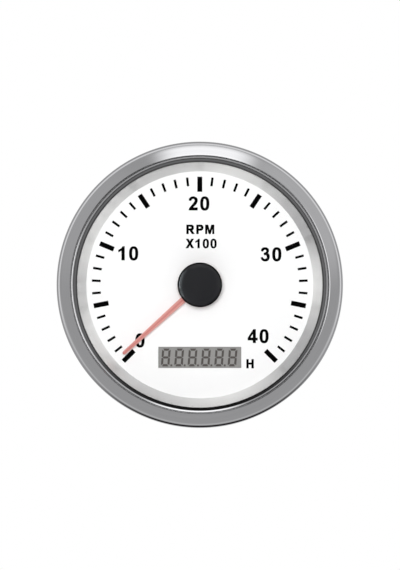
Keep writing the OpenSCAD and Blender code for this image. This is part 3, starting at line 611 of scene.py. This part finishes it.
def turned(outline, steps=192, at=(0, 0)):
    """A mesh turned about a line along Y from its half section, a list of (radius, y)."""
    work = bmesh.new()
    rings = []
    for radius, y in outline:
        turns = [2 * pi * k / steps for k in range(steps if radius > ON_AXIS_R else 1)]
        rings.append([
            work.verts.new((
                (at[0] + radius * cos(turn)) * MM, y * MM, (at[1] + radius * sin(turn)) * MM,
            ))
            for turn in turns
        ])
    for low, high in zip(rings, rings[1:] + rings[:1]):
        for k in range(steps):
            corners = [low[k % len(low)], low[(k + 1) % len(low)]]
            corners += [high[(k + 1) % len(high)], high[k % len(high)]]
            face = list(dict.fromkeys(corners))
            if len(face) > 2:
                work.faces.new(face)
    return filled(work)


def lofted(sections):
    """A closed mesh through sections, each a loop of places in mm."""
    work = bmesh.new()
    rows = [[work.verts.new([part * MM for part in place]) for place in section] for section in sections]
    for low, high in zip(rows, rows[1:]):
        for k in range(len(low)):
            after = (k + 1) % len(low)
            work.faces.new([low[k], low[after], high[after], high[k]])
    work.faces.new(rows[0])
    work.faces.new(rows[-1][::-1])
    return filled(work)


def combined(mesh, other, how):
    """A mesh with another joined to it or cut out of it."""
    tool = placed("tool", other)
    result = worked(mesh, "BOOLEAN", operation=how, solver="EXACT", object=tool)
    bpy.data.objects.remove(tool)
    return result


def dressed(node, edge):
    """A copy of a CAD node's mesh with its edges broken by the width edge."""
    same, flat, bend = 2e-6, 0.4, 38
    work = bmesh.new()
    work.from_mesh(frame["nodes"][node].data)
    bmesh.ops.remove_doubles(work, verts=work.verts, dist=same)
    bmesh.ops.dissolve_limit(
        work, angle_limit=radians(flat), verts=work.verts, edges=work.edges,
        use_dissolve_boundaries=False,
    )
    mesh = filled(work, outwards=False)
    if "custom_normal" in mesh.attributes:
        mesh.attributes.remove(mesh.attributes["custom_normal"])
    return worked(mesh, "BEVEL", width=edge * MM, segments=2, limit_method="ANGLE", angle_limit=radians(bend))


def flat_shape(loops, front, back, edge=0.0, detail=6, swell=0.0):
    """A mesh of a flat outline as seen from the front, between two places along Y.

    Each loop is a list of (x, z), and a third entry marks a point that the outline rounds smoothly. The whole
    outline moves outwards by the length swell, as ink does.
    """
    data = bpy.data.curves.new("outline", "CURVE")
    data.dimensions = "2D"
    data.fill_mode = "BOTH"
    data.extrude = (back - front) / 2 * MM - edge * MM
    data.bevel_depth = edge * MM
    data.offset = (swell - edge) * MM
    data.bevel_resolution = 1
    data.resolution_u = detail
    for loop in loops:
        spline = data.splines.new("BEZIER")
        spline.bezier_points.add(len(loop) - 1)
        spline.use_cyclic_u = True
        for point, spot in zip(spline.bezier_points, loop):
            point.co = (spot[0] * MM, spot[1] * MM, 0)
            kind = "AUTO" if len(spot) > 2 else "VECTOR"
            point.handle_left_type = kind
            point.handle_right_type = kind
    mesh = worked(data)
    upright = Matrix.Rotation(radians(90), 4, "X")
    mesh.transform(Matrix.Translation((0, (front + back) / 2 * MM, 0)) @ upright)
    return mesh


def joined(meshes):
    """Several meshes as one."""
    work = bmesh.new()
    for mesh in meshes:
        work.from_mesh(mesh)
    return filled(work, outwards=False)


def ring_points(radius, count):
    """A smooth round loop."""
    turns = [2 * pi * k / count for k in range(count)]
    return [(radius * cos(t), radius * sin(t), "S") for t in turns]


def box_points(width, height, at=(0, 0)):
    """A rectangular loop."""
    x, z = width / 2, height / 2
    return [(at[0] + a * x, at[1] + b * z) for a, b in ((-1, -1), (1, -1), (1, 1), (-1, 1))]


def new_tree(name, wanted):
    """An empty tree of Geometry Nodes that takes geometry, the named inputs and a material."""
    tree = bpy.data.node_groups.new(name, "GeometryNodeTree")
    tree.interface.new_socket(name="Geometry", in_out="OUTPUT", socket_type="NodeSocketGeometry")
    for label, kind in {"Geometry": "Geometry", **wanted, "Material": "Material"}.items():
        tree.interface.new_socket(name=label, in_out="INPUT", socket_type="NodeSocket" + kind)
    add = partial(add_node, tree)
    return tree, add, add("NodeGroupInput").outputs


def end_tree(add, given, geometry):
    """Closes a tree with Realize Instances and Set Material."""
    real = add("GeometryNodeRealizeInstances", [geometry])
    painted = add("GeometryNodeSetMaterial", {"Geometry": real, "Material": given["Material"]})
    add("NodeGroupOutput", [painted])


def grown(seed, tree, finish, values):
    """The mesh that a tree makes from a seed mesh, with values for its inputs in their order."""
    wanted = [socket.identifier for socket in tree.interface.items_tree if socket.in_out == "INPUT"][1:]
    return worked(seed, "NODES", zip(wanted, [*values, finish]), node_group=tree)


def ring_tree():
    """Copies the seed round the Y axis: each group of Per copies takes Stride steps, from Offset on."""
    tree, add, given = new_tree("copies_round_axis", {
        "Count": "Int", "Per": "Int", "Stride": "Int", "Offset": "Int", "Start": "Float", "Step": "Float",
    })
    spots = add("GeometryNodePoints", [given["Count"]])
    index = add("GeometryNodeInputIndex")
    share = add("Math DIVIDE", [index, given["Per"]])
    group = add("Math FLOOR", [share])
    within = add("Math MODULO", [index, given["Per"]])
    jump = add("Math MULTIPLY_ADD", [group, given["Stride"], within])
    number = add("Math ADD", [jump, given["Offset"]])
    degrees = add("Math MULTIPLY_ADD", [number, given["Step"], given["Start"]])
    turn = add("Math RADIANS", [degrees])
    spin = add("CombineXYZ", {"Y": turn})
    copied = {"Points": spots, "Instance": given["Geometry"], "Rotation": spin}
    end_tree(add, given, add("GeometryNodeInstanceOnPoints", copied))
    return tree


def rank_tree():
    """Copies the seed in columns along X and rows along Z, about the origin."""
    tree, add, given = new_tree("copies_in_ranks", {
        "Columns": "Int", "Rows": "Int", "Pitch X": "Float", "Pitch Z": "Float",
    })
    total = add("Math MULTIPLY", [given["Columns"], given["Rows"]])
    spots = add("GeometryNodePoints", [total])
    index = add("GeometryNodeInputIndex")
    column = add("Math MODULO", [index, given["Columns"]])
    share = add("Math DIVIDE", [index, given["Columns"]])
    row = add("Math FLOOR", [share])
    shifts = {}
    for axis, place, count in (("X", column, given["Columns"]), ("Z", row, given["Rows"])):
        half = add("Math MULTIPLY_ADD", [count, 0.5, -0.5])
        centred = add("Math SUBTRACT", [place, half])
        shifts[axis] = add("Math MULTIPLY", [centred, given["Pitch " + axis]])
    where = add("CombineXYZ", shifts)
    moved = add("GeometryNodeSetPosition", {"Geometry": spots, "Position": where})
    copies = add("GeometryNodeInstanceOnPoints", {"Points": moved, "Instance": given["Geometry"]})
    end_tree(add, given, copies)
    return tree


def carving_tree(name, wanted):
    """The start of a tree that draws the seed's points in towards the Y axis.

    It gives each point's place along Y, its angle, and its place and distance across the axis.
    """
    tree, add, given = new_tree(name, wanted)
    place = add("GeometryNodeInputPosition")
    parts = add("SeparateXYZ", [place]).outputs
    turn = add("Math ARCTAN2", [parts["X"], parts["Z"]])
    return tree, add, given, parts["Y"], turn, *from_axis(add, place)


def carved(add, given, target, along, flat, radius):
    """The end of such a tree: each point goes in to the target radius if it stands further out."""
    least = 1e-9
    nearer = add("Math MINIMUM", [radius, target])
    floor = add("Math MAXIMUM", [radius, least])
    scale = add("Math DIVIDE", [nearer, floor])
    drawn = add("VectorMath SCALE", [flat, scale])
    depth = add("CombineXYZ", {"Y": along})
    whole = add("VectorMath ADD", [drawn, depth])
    moved = add("GeometryNodeSetPosition", {"Geometry": given["Geometry"], "Position": whole})
    end_tree(add, given, moved)


def thread_tree():
    """Cuts a right-hand thread into a turned seed, between two places along Y."""
    tree, add, given, along, turn, flat, radius = carving_tree("cut_thread", {
        "Pitch": "Float", "Crest": "Float", "Root": "Float", "From": "Float", "To": "Float",
    })
    root_half, crest_start = 0.06, 0.44
    rise = add("Math DIVIDE", [along, given["Pitch"]])
    share = add("Math DIVIDE", [turn, 2 * pi])
    phase = add("Math SUBTRACT", [rise, share])
    cycle = add("Math FRACT", [phase])
    centred = add("Math SUBTRACT", [cycle, 0.5])
    away = add("Math ABSOLUTE", [centred])
    flank = add("MapRange", [away, root_half, crest_start, given["Root"], given["Crest"]])
    past = add("Math GREATER_THAN", [along, given["From"]])
    short = add("Math LESS_THAN", [along, given["To"]])
    inside = add("Math MULTIPLY", [past, short])
    target = add("Mix", [inside, given["Crest"], flank])
    carved(add, given, target, along, flat, radius)
    return tree


def flute_tree():
    """Cuts round grooves along Y into a turned seed, for a grip."""
    tree, add, given, along, turn, flat, radius = carving_tree("cut_flutes", {
        "Count": "Int", "Centre": "Float", "Groove": "Float",
    })
    each = add("Math DIVIDE", [2 * pi, given["Count"]])
    shifted = add("Math ADD", [turn, 2 * pi])
    rest = add("Math MODULO", [shifted, each])
    half = add("Math MULTIPLY", [each, 0.5])
    off = add("Math SUBTRACT", [rest, half])
    sine = add("Math SINE", [off])
    cosine = add("Math COSINE", [off])
    aside = add("Math MULTIPLY", [sine, given["Centre"]])
    ahead = add("Math MULTIPLY", [cosine, given["Centre"]])
    aside2 = add("Math MULTIPLY", [aside, aside])
    groove2 = add("Math MULTIPLY", [given["Groove"], given["Groove"]])
    left = add("Math SUBTRACT", [groove2, aside2])
    inside = add("Math GREATER_THAN", [left, 0.0])
    floor = add("Math MAXIMUM", [left, 0.0])
    root = add("Math SQRT", [floor])
    cut = add("Math SUBTRACT", [ahead, root])
    target = add("Mix", [inside, radius, cut])
    carved(add, given, target, along, flat, radius)
    return tree


copies_round = ring_tree()
copies_in_ranks = rank_tree()
cut_thread = thread_tree()
cut_flutes = flute_tree()


def make_bezel():
    """Sheet rolled over at the rim and the lip, and turned in behind the case's flange.

    Inside the lip it runs in over the seal and ends in a low crowned hem. Its opening is rolled a little
    high and a little wide.
    """
    slope, sheet, turn_r, inset, groove = 13, 0.6, 44.6, 0.1, 0.1
    lip_r, lip_roll, crown = 42.2, 0.13, 2.8
    bend_r, shoulder, rim_roll = 20, 4.3, 0.8
    hem_r, hem_roll, hem_crown, hem_end, hem_rise = 41.45, 0.1, 3.0, 0.06, 0.4
    groove_y = SEAL_FRONT_Y - groove
    lip = walk((lip_r, CREST_Y + lip_roll), -90, [(lip_roll, 0), (crown, slope)])
    outer = walk((0, 0), slope, [(bend_r, 15.5), (shoulder, 29), (rim_roll, 90)])
    face_r = BEZEL_R - outer[-1][0]
    face_y = lip[-1][1] + (face_r - lip[-1][0]) * tan(radians(slope))
    rim = [(face_r + r, face_y + y) for r, y in outer]
    hem_arcs = [(hem_roll, -14), (hem_crown, -5), (hem_end, 80)]
    hem = walk((hem_r, SEAL_FRONT_Y - hem_rise), -90, hem_arcs)
    outline = [
        (turn_r, BEZEL_BACK_Y), *arc((BEZEL_R - sheet, FLANGE_BACK_Y), sheet, 90, 0),
        *rim[::-1], *lip[::-1], (lip_r, groove_y), (hem[-1][0], groove_y), *hem[::-1],
        (hem_r, SEAL_FRONT_Y), (lip_r + sheet, SEAL_FRONT_Y), (lip_r + sheet, lip[-1][1] + sheet),
        (face_r - inset, face_y + sheet), (BEZEL_R - sheet, rim[-1][1]),
        (BEZEL_R - sheet, FLANGE_BACK_Y), (turn_r, FLANGE_BACK_Y),
    ]
    mesh = turned(outline, steps=288)
    drift, toward, oval, still_r, full_r = 0.16, radians(95), 0.0026, 43.4, 42.4
    for vertex in mesh.vertices:
        away = hypot(vertex.co.x, vertex.co.z) / MM
        share = min(1.0, max(0.0, (still_r - away) / (still_r - full_r)))
        vertex.co.x += (drift * cos(toward) * MM + oval * vertex.co.x) * share
        vertex.co.z += drift * sin(toward) * share * MM
    make_piece("bezel_rolled", mesh, "polished_steel", "bezel")


def make_lens_seal():
    """A rubber ring with a front leg over the lens, whose edge is round, and a back leg under the lens."""
    nose, out_r, play = 0.3, 46.2, 0.1
    outline = arc((SEAL_IN_R + nose, SEAL_FRONT_Y + nose), nose, 180, 270) + [
        (out_r, SEAL_FRONT_Y), (out_r, FLANGE_FRONT_Y), (BORE_R + play, FLANGE_FRONT_Y),
        (BORE_R + play, LENS_BACK_Y), (LENS_R + play, LENS_BACK_Y), (LENS_R + play, LENS_FRONT_Y),
        (SEAL_IN_R, LENS_FRONT_Y),
    ]
    make_piece("lens_gasket", turned(outline, steps=224), "seal_rubber", "lens_seal", finish=lens_rubber)


def make_lens():
    """Flat glass with ground edges."""
    ground_w = 1.0
    flat_r = LENS_R - ground_w
    outline = softened([
        (0, LENS_FRONT_Y), (flat_r, LENS_FRONT_Y), (LENS_R, LENS_FRONT_Y), (LENS_R, LENS_BACK_Y),
        (flat_r, LENS_BACK_Y), (0, LENS_BACK_Y),
    ], edge=0.25)
    make_piece("lens_pane", turned(outline), "lens_glass", "lens")


def make_trim():
    """A cone of silver plastic from the lens down to the dial."""
    play, foot, seat_y = 0.1, 1, -2.6
    flange = BORE_R - play
    outline = softened([
        (TRIM_FRONT_R, LENS_BACK_Y), (DIAL_VIEW_R, DIAL_Y), (DIAL_VIEW_R + foot, DIAL_Y),
        (CASE_IN_R - play, seat_y), (flange, seat_y), (flange, LENS_BACK_Y),
    ], edge=0.12)
    make_piece("trim_cone", turned(outline, steps=224), "satin_silver", "trim_ring")


def oval_points(x, z, half_w, half_h, power, count=20):
    """A smooth upright oval, whose sides grow flatter with the power."""
    points = []
    for k in range(count):
        c, s = cos(2 * pi * k / count), sin(2 * pi * k / count)
        points.append((
            x + copysign(half_w * abs(c) ** (2 / power), c),
            z + copysign(half_h * abs(s) ** (2 / power), s), "S",
        ))
    return points


# The outlines of each figure, in hundredths of its height, from the left end of its foot
FIGURES = {
    "0": [oval_points(31, 50, 32, 51.5, 2.45), oval_points(31, 50, 14.5, 37.5, 2.6)],
    "1": [[(26, 0), (45, 0), (45, 101), (32.5, 101), (27, 92, "S"), (17, 84, "S"), (1, 74.5), (3, 62.5),
           (12, 67.5, "S"), (20, 72.5, "S"), (26, 78.5)]],
    "2": [[(0, 0), (63, 0), (63, 16.5), (25, 16.5), (32, 24.5, "S"), (45.5, 37.5, "S"), (57.5, 52, "S"),
           (63, 69, "S"), (62, 83, "S"), (53, 94, "S"), (33, 101, "S"), (13, 95.5, "S"), (3.5, 85, "S"),
           (1, 75), (14, 71), (18, 79, "S"), (25, 85.5, "S"), (33, 87, "S"), (41, 84, "S"), (45.5, 75, "S"),
           (43, 64, "S"), (32, 47, "S"), (19, 31.5, "S"), (4, 12.5, "S")]],
    "3": [[(0, 77.5), (3, 90, "S"), (12, 98.5, "S"), (29, 102, "S"), (48, 96.5, "S"), (55.5, 85, "S"),
           (55, 73, "S"), (46.5, 62), (56, 53, "S"), (61, 38, "S"), (59, 20, "S"), (47, 4, "S"), (29, 0, "S"),
           (11, 5, "S"), (1, 16.5, "S"), (-1.5, 25.5), (9, 27.5), (14.5, 18.5, "S"), (27, 13.5, "S"),
           (39, 17.5, "S"), (44.5, 30, "S"), (40.5, 43, "S"), (31, 47.5, "S"), (22, 47.5), (21, 60.5),
           (31, 63.5, "S"), (39.5, 72, "S"), (38, 83, "S"), (28, 88, "S"), (17, 84, "S"), (12, 75)]],
    "4": [[(39, 0), (57, 0), (57, 20), (71, 20), (71, 35), (57, 35), (57, 101), (42, 101), (0, 36), (0, 20),
           (39, 20)], [(39, 36), (13.5, 36), (39, 76)]],
    "R": [[(0, 0), (20, 0), (20, 41), (27, 41), (36, 39), (62, 0), (86, 0), (70, 25), (60, 38), (72, 47, "S"),
           (79, 70, "S"), (74, 90, "S"), (60, 99, "S"), (42, 100), (0, 100)], [(20, 83), (42, 83),
           (58.5, 70, "S"), (40, 57), (20, 57)]],
    "P": [[(0, 0), (20, 0), (20, 38), (40, 38), (62, 43, "S"), (75, 70, "S"), (70, 88, "S"), (56, 99, "S"),
           (40, 100), (0, 100)], [(20, 83), (36, 83), (54.5, 69, "S"), (36, 55), (20, 55)]],
    "M": [[(0, 0), (17, 0), (17, 76), (39.5, 0), (57.5, 0), (80, 76), (80, 0), (97, 0), (97, 100), (69, 100),
           (48.5, 30), (28, 100), (0, 100)]],
    "X": [[(-1, 0), (22, 0), (41.5, 34), (61, 0), (84, 0), (54, 51), (82, 100), (60, 100), (42, 69),
           (24, 100), (1, 100), (30, 51)]],
    "H": [[(0, 0), (20, 0), (20, 43), (59, 43), (59, 0), (79, 0), (79, 100), (59, 100), (59, 60), (20, 60),
           (20, 100), (0, 100)]],
}
# Each figure on the dial: (figure, left edge, foot, height)
NUMERALS = [
    ("0", -21.02, -20.47, 4.33), ("1", -26.78, 8.17, 4.33), ("0", -23.11, 8.17, 4.33),
    ("2", -3.55, 24.62, 4.33), ("0", 0.29, 24.6, 4.33), ("3", 20.25, 7.82, 4.33), ("0", 24.0, 7.87, 4.33),
    ("4", 15.89, -19.03, 4.28), ("0", 19.83, -19.05, 4.28),
]
CAPTIONS = [
    ("R", -4.33, 16.8, 2.9), ("P", -1.05, 16.8, 2.9), ("M", 1.86, 16.8, 2.9), ("X", -4.48, 12.15, 2.92),
    ("1", -1.42, 12.12, 2.92), ("0", 1.08, 12.12, 2.92), ("0", 3.62, 12.12, 2.92),
    ("H", 15.42, -27.4, 2.85),
]
# The marks of the scale: (name, middle radius, length, width, count, run, stride, first), and their turns
MARKS = [
    ("dial_marks_long", 33.1, 4.97, 1.6, 9, 1, 5, 0), ("dial_marks_short", 34.1, 2.88, 0.78, 32, 4, 5, 1),
]
SCALE_START, SCALE_STEP = -225.0, 6.75


def figure_mesh(swell, figure, left, foot, height):
    """One printed figure on the dial's face."""
    unit = height / 100
    loops = [[(left + x * unit, foot + z * unit, *kind) for x, z, *kind in loop] for loop in FIGURES[figure]]
    return flat_shape(loops, DIAL_Y - INK_T, DIAL_Y, swell=swell)


def make_dial():
    """A white disc with a hole for the pointer and a window for the display, and its black print."""
    hole_r, edge, detail = 3.2, 0.05, 4
    window = box_points(WINDOW_W, WINDOW_H, (0, WINDOW_Z))
    loops = [ring_points(DIAL_R, count=96), ring_points(hole_r, count=24), window]
    make_piece("dial_disc", flat_shape(loops, DIAL_Y, DIAL_Y + DIAL_T, edge, detail), "dial_white", "dial")
    for name, table, swell in (("dial_numerals", NUMERALS, 0.13), ("dial_captions", CAPTIONS, 0.1)):
        figures = joined([figure_mesh(swell, *row) for row in table])
        make_piece(name, figures, "cap_black", finish=dial_ink)
    for name, radius, length, width, *places in MARKS:
        bar = flat_shape([box_points(length, width, (radius, 0))], DIAL_Y - INK_T, DIAL_Y)
        marks = grown(bar, copies_round, dial_ink, [*places, SCALE_START, SCALE_STEP])
        make_piece(name, marks, "cap_black", finish=dial_ink)


def segment_loops(width, height, stroke, slant, gap):
    """The seven strokes of a figure eight, with mitred ends and a small gap between them."""
    half, mid, lean, mitre, side_mitre = stroke / 2, height / 2, tan(radians(slant)), 0.9, 0.6
    end, side_end = half * mitre + gap, half * side_mitre + gap
    inner, right = stroke + gap, width - stroke - gap
    bars = [
        [(end, edge), (width - end, edge), (right, edge + inward), (inner, edge + inward)]
        for edge, inward in ((0, stroke), (height, -stroke))
    ]
    bars.append([
        (half + gap, mid), (inner, mid + half), (right, mid + half), (width - half - gap, mid),
        (right, mid - half), (inner, mid - half),
    ])
    for x, inward in ((0, 1), (width, -1)):
        for z, up in ((0, 1), (height, -1)):
            bars.append([
                (x, z + up * end), (x + inward * stroke, z + up * inner),
                (x + inward * stroke, mid - up * (half + gap)), (x + inward * half, mid - up * gap),
                (x, mid - up * side_end),
            ])
    return [[(x + z * lean, z) for x, z in bar] for bar in bars]


def make_display():
    """A reflective liquid crystal pane with six figures and five points."""
    make_piece("display_pane", dressed("lcd_glass", 0.1), "display_glass", "lcd_glass")
    columns, pitch, left, foot = 6, 4.396, -12.85, -26.83
    width, height, stroke, slant, gap = 2.84, 5.84, 0.72, 4.6, 0.06
    dot_w, dot_x = 0.62, 3.47
    strokes = segment_loops(width, height, stroke, slant, gap)
    figure = joined([flat_shape([loop], GLASS_Y - SEGMENT_T, GLASS_Y) for loop in strokes])
    figure.transform(Matrix.Translation(((left + (columns - 1) / 2 * pitch) * MM, 0, foot * MM)))
    dot_at = (left + dot_x + (columns - 2) / 2 * pitch, foot + dot_w / 2)
    dot = flat_shape([box_points(dot_w, dot_w, dot_at)], GLASS_Y - SEGMENT_T, GLASS_Y)
    for name, seed, count in (("display_figures", figure, columns), ("display_points", dot, columns - 1)):
        row = grown(seed, copies_in_ranks, segment_ink, [count, 1, pitch * MM, 0.0])
        make_piece(name, row, "display_glass", finish=segment_ink)


def at_rest(mesh):
    """Turns a mesh that lies along X to where the needle rests."""
    mesh.transform(Matrix.Rotation(radians(-NEEDLE_REST), 4, "Y"))
    return mesh


def make_pointer():
    """A tapered acrylic blade with a low ridge, on a hub that the cap covers."""
    root, tip, fall, ridge_share, droop = 1.035, 0.6, 0.3, 0.22, 0.25
    boss_r, boss_end, edge, sharp = 2.4, DIAL_Y + 0.1, 0.15, 25
    front, back = NEEDLE_FRONT_Y, NEEDLE_BACK_Y
    bow = [radians(angle) for angle in (20, 40, 58, 74, 86)]
    stations = [(0.0, root), (CAP_R, root), (NEEDLE_TIP_R - tip, tip)]
    stations += [(NEEDLE_TIP_R - tip + tip * sin(turn), tip * cos(turn)) for turn in bow]
    sections = []
    for along, half in stations:
        ridge = half * ridge_share
        crest = front + (1 - half / tip) * droop if half < tip else front
        sections.append([
            (along, back, -half), (along, front + fall, -half), (along, crest, -ridge),
            (along, crest, ridge), (along, front + fall, half), (along, back, half),
        ])
    outline = softened([
        (SHAFT_R, front), (HUB_R, front), (HUB_R, back), (boss_r, back), (boss_r, boss_end),
        (SHAFT_R, boss_end),
    ], edge)
    needle = combined(at_rest(lofted(sections)), turned(outline, steps=96), "UNION")
    make_piece("needle_blade", needle, "needle_red", "needle", "pointer", angle=sharp)


def make_cap():
    """A glossy disc that rounds off at its edge, set in a skirt with a slot for the needle, painted near
    black as painted shade round the cap's edge.
    """
    disc_r, flat_r, skirt_r, inside = CAP_R - 0.58, CAP_R - 1.9, CAP_R - 0.06, CAP_R - 0.75
    fall, hole_y, sunk, play, skirt_roll = 8, NEEDLE_FRONT_Y - 0.86, 0.05, 0.01, 0.15
    margin = walk((flat_r, CAP_FRONT_Y), 0, [((disc_r - flat_r) / sin(radians(fall)), fall)])
    disc = [(0, CAP_FRONT_Y), *margin, (disc_r, NEEDLE_FRONT_Y), (SHAFT_R, NEEDLE_FRONT_Y)]
    disc += [(SHAFT_R, hole_y), (0, hole_y)]
    core = make_piece("cap_disc", turned(disc, steps=128), "cap_black", "pointer_cap", "pointer")
    card_lights.objects.link(core)
    front = margin[-1][1] + sunk
    skirt = [
        (disc_r + play, front), *walk((skirt_r - skirt_roll, front), 0, [(skirt_roll, 90)]),
        (skirt_r, CAP_END_Y), (inside, CAP_END_Y), (inside, NEEDLE_FRONT_Y), (disc_r + play, NEEDLE_FRONT_Y),
    ]
    gap, past, lift = 0.1, 1, 0.001
    reach, slot_w = CAP_R + past, NEEDLE_ROOT_W + 2 * gap
    block = flat_shape([box_points(reach, slot_w, (reach / 2, 0))], NEEDLE_FRONT_Y - lift, CAP_END_Y + past)
    slotted = combined(turned(skirt, steps=128), at_rest(block), "DIFFERENCE")
    # The skirt is painted near black as painted shade round the cap's edge
    make_piece("cap_skirt", slotted, "cap_black", "pointer_cap", "pointer", skirt_painted_shade)


def make_studs():
    """M4 studs: hexagon heads inside the case, and threads of 0.7 mm pitch that run out of it."""
    pitch, root, point, chamfer, head_h, rows_each = 0.7, 1.62, 0.6, 0.5, 2, 8
    start_play, end_play, head_r = 0.3, 0.1, 2 * STUD_R
    length = STUD_END_Y - point - CASE_END_Y
    rows = int(length / pitch * rows_each)
    thread = [(STUD_R, CASE_END_Y + length * k / rows) for k in range(rows + 1)]
    outline = [(0, WALL_Y), (STUD_R, WALL_Y), *thread, (STUD_R - chamfer, STUD_END_Y), (0, STUD_END_Y)]
    cut = (pitch, STUD_R, root, CASE_END_Y + start_play, STUD_END_Y + end_play)
    steel = finishes["stud_steel"]
    shank = grown(turned(outline, steps=40), cut_thread, steel, [size * MM for size in cut])
    head_line = [(0, WALL_Y - head_h), (head_r, WALL_Y - head_h), (head_r, WALL_Y), (0, WALL_Y)]
    one = joined([shank, turned(softened(head_line, edge=0.25), steps=6)])
    pair = grown(one, copies_in_ranks, steel, [2, 1, 2 * STUD_X * MM, 0.0])
    make_piece("studs_threaded", pair, "stud_steel", "mounting_studs", angle=50)


def make_nuts():
    """Thumb nuts moulded in nylon, with eighteen flutes for the fingers."""
    bore, collar, collar_h, end = STUD_R + 0.05, NUT_R - 1.4, 1, NUT_Y + NUT_H
    dish_r, dish_foot_r, dish = bore + 1.2, bore + 0.9, 0.5
    outline = softened([
        (bore, NUT_Y), (collar, NUT_Y), (collar, NUT_Y + collar_h), (NUT_R, NUT_Y + collar_h), (NUT_R, end),
        (dish_r, end), (dish_foot_r, end - dish), (bore, end - dish),
    ], edge=0.35)
    count, centre, groove = 18, NUT_R + 0.2, 0.7
    flutes = [count, centre * MM, groove * MM]
    for side, x in (("left", -STUD_X), ("right", STUD_X)):
        nut = grown(turned(outline, steps=288), cut_flutes, finishes["nut_nylon"], flutes)
        nut.transform(Matrix.Translation((x * MM, 0, 0)))
        make_piece("nut_fluted_" + side, nut, "nut_nylon", "thumb_nut_" + side, "nut_" + side, angle=40)


def make_pins():
    """Eight square pins with tapered tips."""
    tip_w, start_taper, end_taper, columns, rows = 0.32, 0.4, 0.9, 4, 2
    stations = [
        (PIN_START_Y, tip_w), (PIN_START_Y + start_taper, PIN_W), (PIN_END_Y - end_taper, PIN_W),
        (PIN_END_Y, tip_w),
    ]
    seed = lofted([[(x, y, z) for x, z in box_points(width, width)] for y, width in stations])
    seed.transform(Matrix.Translation((0, 0, PIN_Z * MM)))
    ranks = [columns, rows, PIN_PITCH * MM, PIN_PITCH * MM]
    pins = grown(seed, copies_in_ranks, finishes["pin_brass"], ranks)
    make_piece("pins_square", pins, "pin_brass", "connector_pins")


def make_gasket():
    """A rubber ring under the bezel, with rounded edges."""
    in_r, step_r = REGISTER_R + 0.1, 44.5
    outline = softened([
        (in_r, 0), (FLANGE_R, 0), (FLANGE_R, BEZEL_BACK_Y), (step_r, BEZEL_BACK_Y),
        (step_r, FLANGE_BACK_Y), (in_r, FLANGE_BACK_Y),
    ], edge=0.25)
    make_piece("gasket_ring", turned(outline), "seal_rubber", "panel_gasket")


def make_button():
    """A rod with a head that is dished for the finger, in a lipped rubber seal."""
    rod, head, start, end, head_h = 1.8, 3.2, 14.8, 37.0, 1.6
    front = end + head_h
    outline = softened([(0, start), (rod, start), (rod, end), (head, end), (head, front)], edge=0.35)[:-1]
    dish = [(2.6, 0), (2.2, 0.05), (1.4, 0.22), (0.6, 0.32), (0, 0.35)]
    outline += [(radius, front - depth) for radius, depth in dish]
    button = turned(outline, steps=72, at=BUTTON_AT)
    make_piece("button_moulded", button, "button_black", "set_button", "button")
    bore, out, foot, top = 1.85, 3.4, 35.0, 36.0
    ledge, groove, groove_fall, nose_fall = 0.9, 0.6, 0.3, 0.15
    lip = softened([
        (bore, foot), (out, foot), (out, top), (bore + ledge, top), (bore + groove, top - groove_fall),
        (bore, top - nose_fall),
    ], edge=0.15)
    make_piece("button_lip_seal", turned(lip, steps=72, at=BUTTON_AT), "seal_rubber", "button_seal")


def make_breather():
    """A disc of porous membrane, welded at its rim."""
    radius, foot, top = 4.0, 35.2, 36.3
    outline = softened([(0, foot), (radius, foot), (radius, top)], edge=0.2)[:-1]
    dish = [(3.8, 0.02), (3.1, 0), (3.0, 0.18), (2.7, 0.22), (0, 0.14)]
    outline += [(r, top - depth) for r, depth in dish]
    make_piece("breather_disc", turned(outline, steps=72, at=BREATHER_AT), "membrane_grey", "breather")


def make_floor():
    """A plain pale disc under the object, which fades to white at its rim and hides nothing from below."""
    radius, level, cloud_size, fade_start, fade_end = 500.0, -300.0, 120, 0.2, 0.9
    work = bmesh.new()
    bmesh.ops.create_circle(work, cap_ends=True, segments=96, radius=radius * MM)
    bmesh.ops.translate(work, verts=work.verts, vec=(0, 0, level * MM))
    mesh = filled(work, outwards=False)
    material, add, place = new_material("pale_floor")
    cloud = add("TexNoise", [place, per(cloud_size), 2.0])
    colour = add("Mix RGBA", [cloud, linear("#F1F1F0"), linear("#EDEDEC")])
    matt = add("BsdfPrincipled", {"Base Color": colour, "Roughness": 0.9})
    away = from_axis(add, place, (1, 1, 0))[1]
    rim = add("MapRange SMOOTHSTEP", [away, fade_start * radius * MM, fade_end * radius * MM])
    sweep = add("MixShader", [rim, matt, add("Emission", [WHITE, 1.0])])
    under = add("NewGeometry").outputs["Backfacing"]
    one_way = add("MixShader", [under, sweep, add("BsdfTransparent")])
    floor = link("floor", mesh, closed(material, one_way))
    floor.visible_glossy = False


make_bezel()
make_lens_seal()
make_lens()
make_trim()
make_dial()
make_display()
make_pointer()
make_cap()
make_studs()
make_nuts()
make_pins()
make_gasket()
make_button()
make_breather()
# Pieces whose CAD shape is right, with their edges broken: (name, node, body, slot, edge)
for name, node, body, slot, edge in (
    ("case_moulded", "case", "root", "case_black", 0.2),
    ("header_shell", "connector_header", "root", "header_black", 0.15),
    ("bracket_strap", "clamp_bracket", "clamp", "bracket_steel", 0.25),
    ("washers_split", "lock_washers", "clamp", "plated_steel", 0.12),
):
    make_piece(name, dressed(node, edge), slot, node, body)
make_floor()
